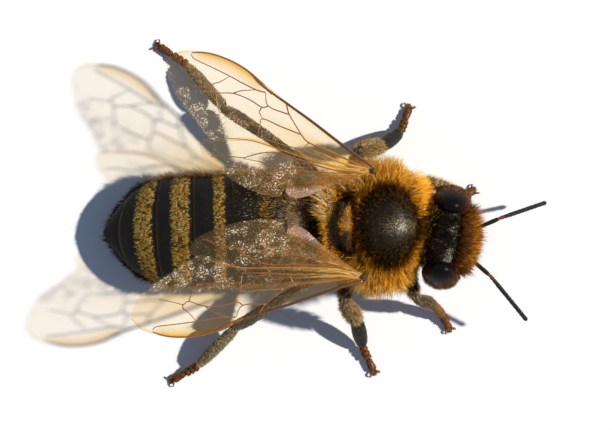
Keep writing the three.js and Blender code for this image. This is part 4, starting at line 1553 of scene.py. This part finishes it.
def weighFringe(places):
    x, y, z = fromBody(places).T
    beyond = above(patchAt(places), 0.86, 0.3)
    side = below(z, 2.9, 0.3)
    lower = 1 - 0.5 * below(z, 2.2, 0.6)
    rear = 1 - 0.9 * below(x, fringeCoat["rearEdge"], 0.15) * below(np.abs(y), 1.25, 0.3)
    bald = (1 - 0.97 * furrowAt(x, y) * onBack(z)) * (1 - 0.5 * saddleAt(x, y, z))
    return onThorax(places) * np.maximum(beyond, side) * lower * rear * bald


def growFringe(part, picked):
    def weigh(places, normals):
        return weighFringe(places) * picked(places)

    roots, normals = scatter(skin, fringeCoat["hairs"][part], weigh)
    x, y, z = fromBody(roots).T
    ring = above(patchAt(roots), 0.9, 0.6)
    out = unit(np.stack([(x - 0.1) * 0.9, y * 1.05, (z - 2.9) * 0.3], 1))
    lie = out + np.stack([-0.3 * below(x, -0.4, 0.8), 0 * x, -0.25 * below(z, 2.6, 1)], 1)
    shares = fringeCoat["shares"]
    rightRear = mix(shares["rightRear"], 1, ease(y / 0.6))
    onRight = below(y, -0.6, 0.8) * above(x, -1.0, 0.6) * below(x, 1.5, 0.4)
    rightFront = above(x, 1.45, 0.25) * below(y, 0.2, 0.4)
    lengths = mix(*fringeCoat["length"], ring) * mix(1, shares["low"], below(z, 2.5, 1.0))
    lengths = lengths * mix(1, shares["front"], above(x, 0.6, 0.7))
    lengths = lengths * mix(1, rightRear, below(x, -1.2, 0.5))
    lengths = lengths * mix(1, shares["right"], onRight)
    lengths = lengths * mix(1, shares["rightFront"], rightFront)
    lengths = mix(lengths, fringeCoat["saddleLength"], saddleAt(x, y, z))
    tones = thoraxTone(roots) + fringeCoat["leftRearTone"] * ease(y / 0.6) * below(x, -1.2, 0.4)
    tones = tones + fringeCoat["toneScatter"] * luck.normal(size=len(roots))
    stand = mix(*fringeCoat["stand"], ring)
    grown = hairs(roots, normals, lie, stand, lengths, tones, unrollTrunk(roots))
    growCoat(f"coat_thorax_{part}", grown, **fringeCoat["grow"])


# A pale collar between thorax and head, longer on the left.
collarCoat = {
    "hairs": 8000,
    "length": {"middle": 0.54, "left": 0.76, "right": 0.42},
    "low": 0.7,
    "stand": (0.5, 0.35),
    "tone": 0.54,
    "toneScatter": 0.1,
    "grow": {"thick": 0.022, "rings": 3, "wild": 0.18, "spread": (0.5, 1.2), "tuft": 0.16, "gather": 0.8},
}


def growCollar():
    def weigh(places, normals):
        x, y, z = fromBody(places).T
        middle = ease((x - 1.45 + 0.5 * np.abs(y)) / 0.2) * (1 + hump(y, 1.1, 0.6)) * (patchAt(places) > 1.0)
        return onThorax(places) * above(x, 1.0, 0.3) * middle * above(z, 1.7, 0.5)

    roots, normals = scatter(skin, collarCoat["hairs"], weigh)
    x, y, z = fromBody(roots).T
    corner = above(np.abs(y), 0.6, 0.5)
    lie = np.stack([np.ones(len(x)), np.where(y > 0, 0.02, -0.35) + y * 0.12, mix(0.25, 0.05, corner)], 1)
    length = collarCoat["length"]
    lengths = mix(length["middle"], np.where(y > 0, length["left"], length["right"]), corner)
    lengths = lengths * mix(1, collarCoat["low"], below(z, 2.4, 0.6))
    tones = collarCoat["tone"] - 0.03 * corner + 0.06 * hump(y, 1.35, 0.7) + 0.2 * above(y, 1.25, 0.3)
    tones = tones + collarCoat["toneScatter"] * luck.normal(size=len(x))
    stand = mix(*collarCoat["stand"], corner)
    grown = hairs(roots, normals, lie, stand, lengths, tones, unrollTrunk(roots))
    growCoat("coat_collar", grown, **collarCoat["grow"])


growPatch()
growFringe("left", lambda places: ease(places[:, 1] / 0.1) * above(places[:, 0], -0.9, 0.1))
growFringe("right", lambda places: ease(-places[:, 1] / 0.1) * above(places[:, 0], -0.9, 0.1))
growFringe("rear", lambda places: below(places[:, 0], -0.8, 0.1))
growCollar()


# The head: spiky bristles on the face, sparse dark ones on the crown, pale ones below and behind.
headCoat = {
    "hairs": {"face": 10500, "crown": 8000, "eye": 1800},
    "length": {"face": 0.46, "crown": 0.24, "eye": 0.12},
    "stand": {"face": 0.5, "crown": 0.55, "eye": 0.8},
    "longShare": 0.15,  # of the face's bristles
    "longAndShort": (1.35, 0.96),
    "faceTones": (0.0, 0.34),
    "chinTone": 0.6,
    "cornerTone": 0.36,  # behind the left eye
    "eyeTone": 0.26,
    "grow": {
        "face": {"thick": 0.018, "wild": 0.32, "spread": (0.4, 1.25), "tuft": 0.14, "gather": 1.2,
                 "toneSpread": 0.08},
        "crown": {"thick": 0.016, "wild": 0.24, "spread": (0.5, 1.25), "gather": 0.5},
        "eye": {"thick": 0.011, "wild": 0.08, "gather": 0.0},
    },
}


def eyeDistance(places):  # 1 on an eye's surface
    x, y, z = fromHead(places).T
    halfX, halfY, halfZ = eye["halfSizes"]
    cosine, sine = math.cos(eye["lean"]), math.sin(eye["lean"])
    reach = []
    for side in (1, -1):
        offX, offY, offZ = x - eye["forward"], y - side * eye["side"], z - eye["height"]
        turnedY = offY * cosine + side * offZ * sine
        turnedZ = -side * offY * sine + offZ * cosine
        reach.append(np.sqrt((offX / halfX) ** 2 + (turnedY / halfY) ** 2 + (turnedZ / halfZ) ** 2))
    return np.minimum(*reach)


def onFace(places):
    return above(fromHead(places)[:, 0], 0.22, 0.2)


def offEyes(places):  # one on the head's skin, nothing under the eyes
    return (1 - onThorax(places)) * (eyeDistance(places) > 1.03)


def growFace():
    def weigh(places, normals):
        low = mix(0.35, 1, above(fromHead(places)[:, 2], -1.0, 1.2))
        return offEyes(places) * onFace(places) * low

    roots, normals = scatter(skin, headCoat["hairs"]["face"], weigh)
    count = len(roots)
    x, y, z = fromHead(roots).T
    ahead = np.array([math.cos(head["yaw"]), math.sin(head["yaw"]), 0.0])
    lie = ahead + np.stack([0 * y, y * 0.38, z * 0.22 + 0.02], 1)
    sides = above(np.abs(y), 1.0, 0.5)
    lengths = headCoat["length"]["face"] * mix(0.5, 1, above(z, -0.8, 1.0)) * mix(1, 0.75, sides)
    lengths = lengths * np.where(luck.random(count) < headCoat["longShare"], *headCoat["longAndShort"])
    tones = luck.uniform(*headCoat["faceTones"], count) * mix(0.05, 1, above(x, 0.38, 0.46))
    tones = tones * mix(1, 1.2, above(np.abs(y), 0.9, 0.5))
    tones = mix(tones, headCoat["chinTone"], below(z, -0.2, 0.7))
    grown = hairs(roots, normals, lie, headCoat["stand"]["face"], lengths, tones, unrollHead(roots))
    growCoat("coat_face", grown, **headCoat["grow"]["face"], look=faceHairLook)


def growCrown():
    def weigh(places, normals):
        bare = 1 - 0.9 * bareAndPaintedGlintAt(places)
        low = mix(0.45, 1, above(fromHead(places)[:, 2], -1.3, 1.2))
        return offEyes(places) * (1 - onFace(places)) * bare * low

    roots, normals = scatter(skin, headCoat["hairs"]["crown"], weigh)
    x, y, z = fromHead(roots).T
    corner = below(x, -0.3, 0.2) * above(y, 0.7, 0.3)
    up = mix(0.7, 0.2, corner) - 1.2 * below(z, -0.2, 0.6)
    lie = np.stack([-0.5 - corner, y * mix(0.35, 0.1, corner), up], 1)
    lengths = headCoat["length"]["crown"] * mix(0.6, 1, above(z, -0.9, 1.0)) * mix(1, 2.0, corner)
    tones = mix(headTone(roots) * mix(0.15, 1.0, below(z, 0.2, 0.6)), headCoat["cornerTone"], corner)
    grown = hairs(roots, normals, lie, headCoat["stand"]["crown"], lengths, tones, unrollHead(roots))
    growCoat("coat_crown", grown, **headCoat["grow"]["crown"])


def growEyes():
    def weigh(places, normals):
        x, y = fromHead(places)[:, :2].T
        return 0.03 + above(x, 0.05, 0.4) + above(np.abs(y), 1.55, 0.2)

    for name, shape in eyes.items():
        roots, normals = scatter(shape, headCoat["hairs"]["eye"], weigh)
        grown = hairs(roots, normals, normals, headCoat["stand"]["eye"], headCoat["length"]["eye"],
                      headCoat["eyeTone"], unrollHead(roots))
        growCoat(f"coat_eye_{name}", grown, **headCoat["grow"]["eye"])


growFace()
growCrown()
growEyes()


# The abdomen: gold down in bands, sparse short hairs between, fuzz in front and along the sides.
abdomenCoat = {
    "hairs": {"bands": 21000, "back": 17000, "belly": 5000},
    "fleck": (0.14, 0.045),  # how long and wide the dark flecks in the bands are
    "fleckShare": 0.27,
    "bandTone": 0.8,
    "frontBandDarker": 0.3,
    "bandScatter": 0.1,
    "bandLength": (0.11, 0.2),  # behind and in front
    "darkShare": 0.75,  # of the sparse hairs
    "tailTone": 0.12,
    "bellyTones": (0.72, 0.1),  # in front and at the tail
    "grow": {
        "bands": {"thick": 0.018, "rings": 1, "wild": 0.12, "tuft": 0.08, "gather": 1.0, "toneSpread": 0.2},
        "back": {"thick": 0.014, "wild": 0.2, "gather": 0.2},
        "belly": {"thick": 0.014, "rings": 1},
    },
}
backPlates, bellyPlates = (joined([shape for name, shape in plates.items() if name.startswith(kind)])
                           for kind in ("tergite", "sternite"))


def outerSide(places, normals):  # one on the plates' outer faces
    x, y, z = fromBody(places).T
    out = np.stack([0 * x, y, (z - abdomenAt(x)[1])], 1)
    return np.einsum("ij,ij->i", unit(out), normals) > 0.35


def fleckAt(places):  # one where a dark fleck breaks the gold
    x, y, z = places.T
    long, wide = abdomenCoat["fleck"]
    across = np.floor((y + z * 0.35 + 0.02 * np.sin(x * 31)) / wide)
    along = np.floor(x / long + 0.5 * across)
    return np.mod(np.sin(along * 127.1 + across * 311.7) * 43758.5, 1) < abdomenCoat["fleckShare"]


def backward(normals):  # along the surface towards the tail
    back = np.tile(np.array([-1.0, 0, 0]), (len(normals), 1))
    return unit(back - normals * np.einsum("ij,ij->i", back, normals)[:, None])


def growOnPlates(part, roots, normals, stand, lengths, tones, look=None):
    grown = hairs(roots, normals, backward(normals), stand, lengths, tones, unrollAbdomen(roots))
    growCoat(f"coat_{part}", grown, "shell", **abdomenCoat["grow"][part], look=look)


def growBands():
    def weigh(places, normals):
        band = bandAt(fromBody(places)[:, 0], roundAngle(places))
        return outerSide(places, normals) * band ** 1.5 * (1 - 0.98 * fleckAt(places))

    roots, normals = scatter(backPlates, abdomenCoat["hairs"]["bands"], weigh)
    front = above(fromBody(roots)[:, 0], -4.8, 0.4)
    tones = abdomenCoat["bandTone"] - 0.04 * above(roots[:, 0], -6.4, 1.0)
    tones = tones - abdomenCoat["frontBandDarker"] * front
    tones = tones + abdomenCoat["bandScatter"] * luck.normal(size=len(roots))
    lengths = mix(*abdomenCoat["bandLength"], front)
    growOnPlates("bands", roots, normals, 0.2, lengths, tones, bandHairLook)


def growBack():
    def weigh(places, normals):
        x = fromBody(places)[:, 0]
        side = below(np.sin(roundAngle(places)), 0.4, 0.4)
        front = above(x, -3.9, 0.5)
        return outerSide(places, normals) * (0.3 + 2.4 * side + 2.0 * front + 1.0 * above(x, -5.6, 1.0))

    roots, normals = scatter(backPlates, abdomenCoat["hairs"]["back"], weigh)
    x = fromBody(roots)[:, 0]
    side = below(np.sin(roundAngle(roots)), 0.35, 0.4)
    front = above(x, -3.9, 0.5)
    bright = luck.random(len(roots)) > abdomenCoat["darkShare"]
    tones = 0.08 + 0.82 * side + 0.18 * front + 0.22 * bright + (0.18 + 0.34 * bright) * above(x, -5.6, 1.0)
    tones = mix(tones, abdomenCoat["tailTone"], below(x, -8.0, 0.6))
    lengths = 0.12 + 0.33 * side * mix(1, 0.5, below(x, -8.4, 0.6)) + 0.12 * front
    growOnPlates("back", roots, normals, 0.25 + 0.32 * side, lengths, tones, legHairLook)


def growBelly():
    roots, normals = scatter(bellyPlates, abdomenCoat["hairs"]["belly"], outerSide)
    tones = mix(*abdomenCoat["bellyTones"], below(roots[:, 0], -8.0, 0.6))
    growOnPlates("belly", roots, normals, 0.2, 0.2, tones)


growBands()
growBack()
growBelly()


# The legs: for each part how many hairs, how long, how upright, and their tone. Some legs differ.
legHair = {
    "coxa": {"hairs": 300, "length": 0.24, "stand": 0.4, "tone": 0.6},
    "femur": {"hairs": 700, "length": 0.2, "stand": 0.5, "tone": 0.86},
    "tibia": {"hairs": 700, "length": 0.13, "stand": 0.35, "tone": 0.5},
    "basitarsus": {"hairs": 420, "length": 0.09, "stand": 0.35, "tone": 0.45},
    "foot": {"hairs": 700, "length": 0.08, "stand": 0.45, "tone": 0.34},
}
legHairOf = {
    "mid": {"tibia": {"hairs": 1700, "length": 0.24, "stand": 0.6, "tone": 0.62},
            "basitarsus": {"hairs": 260, "length": 0.07, "stand": 0.3, "tone": 0.35}},
    "fore_left": {"femur": {"hairs": 1400, "length": 0.26, "stand": 0.6, "tone": 0.94},
                  "tibia": {"hairs": 1000, "length": 0.18, "stand": 0.55, "tone": 0.86}},
    "hind": {"tibia": {"hairs": 1100, "length": 0.12, "stand": 0.3, "tone": 0.42},
             "basitarsus": {"hairs": 1300, "length": 0.1, "stand": 0.35, "tone": 0.84}},
}
legGrow = {"thick": 0.016, "wild": 0.16, "spread": (0.6, 1.25), "tuft": 0.1, "gather": 0.3}
basketFringe = 0.2  # how much longer the hairs on the edges of the hind shins are


def evenly(places, normals):
    return np.ones(len(places))


def growLeg(name, shapes, joints):
    kind = name.split("_")[0]
    batches = []
    for number, (part, (start, end)) in enumerate(legSpans(joints).items()):
        plan = legHair[part]
        for like in (kind, name):
            plan = legHairOf.get(like, {}).get(part, plan)
        axis = unit(end - start)
        count = plan["hairs"]
        roots, normals = scatter(shapes[part], count, evenly)
        share = np.clip(shareAlong(roots, start, end), 0, 1)
        lie = np.tile(axis, (count, 1)) + np.array([0, 0, -0.1])
        lengths = np.full(count, plan["length"])
        if kind == "hind" and part == "tibia":
            edge = np.abs(normals @ unit(np.cross(axis, np.cross((0, 0, 1.0), axis))))
            lengths = lengths + basketFringe * above(edge, 0.6, 0.3)
        tones = plan["tone"] + 0.12 * luck.normal(size=count)
        across = normals @ unit(np.cross(axis, (0, 0, 1.0)))
        around = np.arctan2(normals[:, 2], across) / (2 * math.pi) + 0.5
        spots = np.stack([(number + 0.05 + 0.9 * around) / len(legHair), 0.02 + 0.96 * share], 1)
        batches.append(hairs(roots, normals, lie, plan["stand"], lengths, tones, spots))
    growCoat(f"coat_leg_{name}", together(batches), "leg", **legGrow, look=legHairLook)


for name, joints in legJoints.items():
    growLeg(name, legs[name], joints)
print("coat grown")
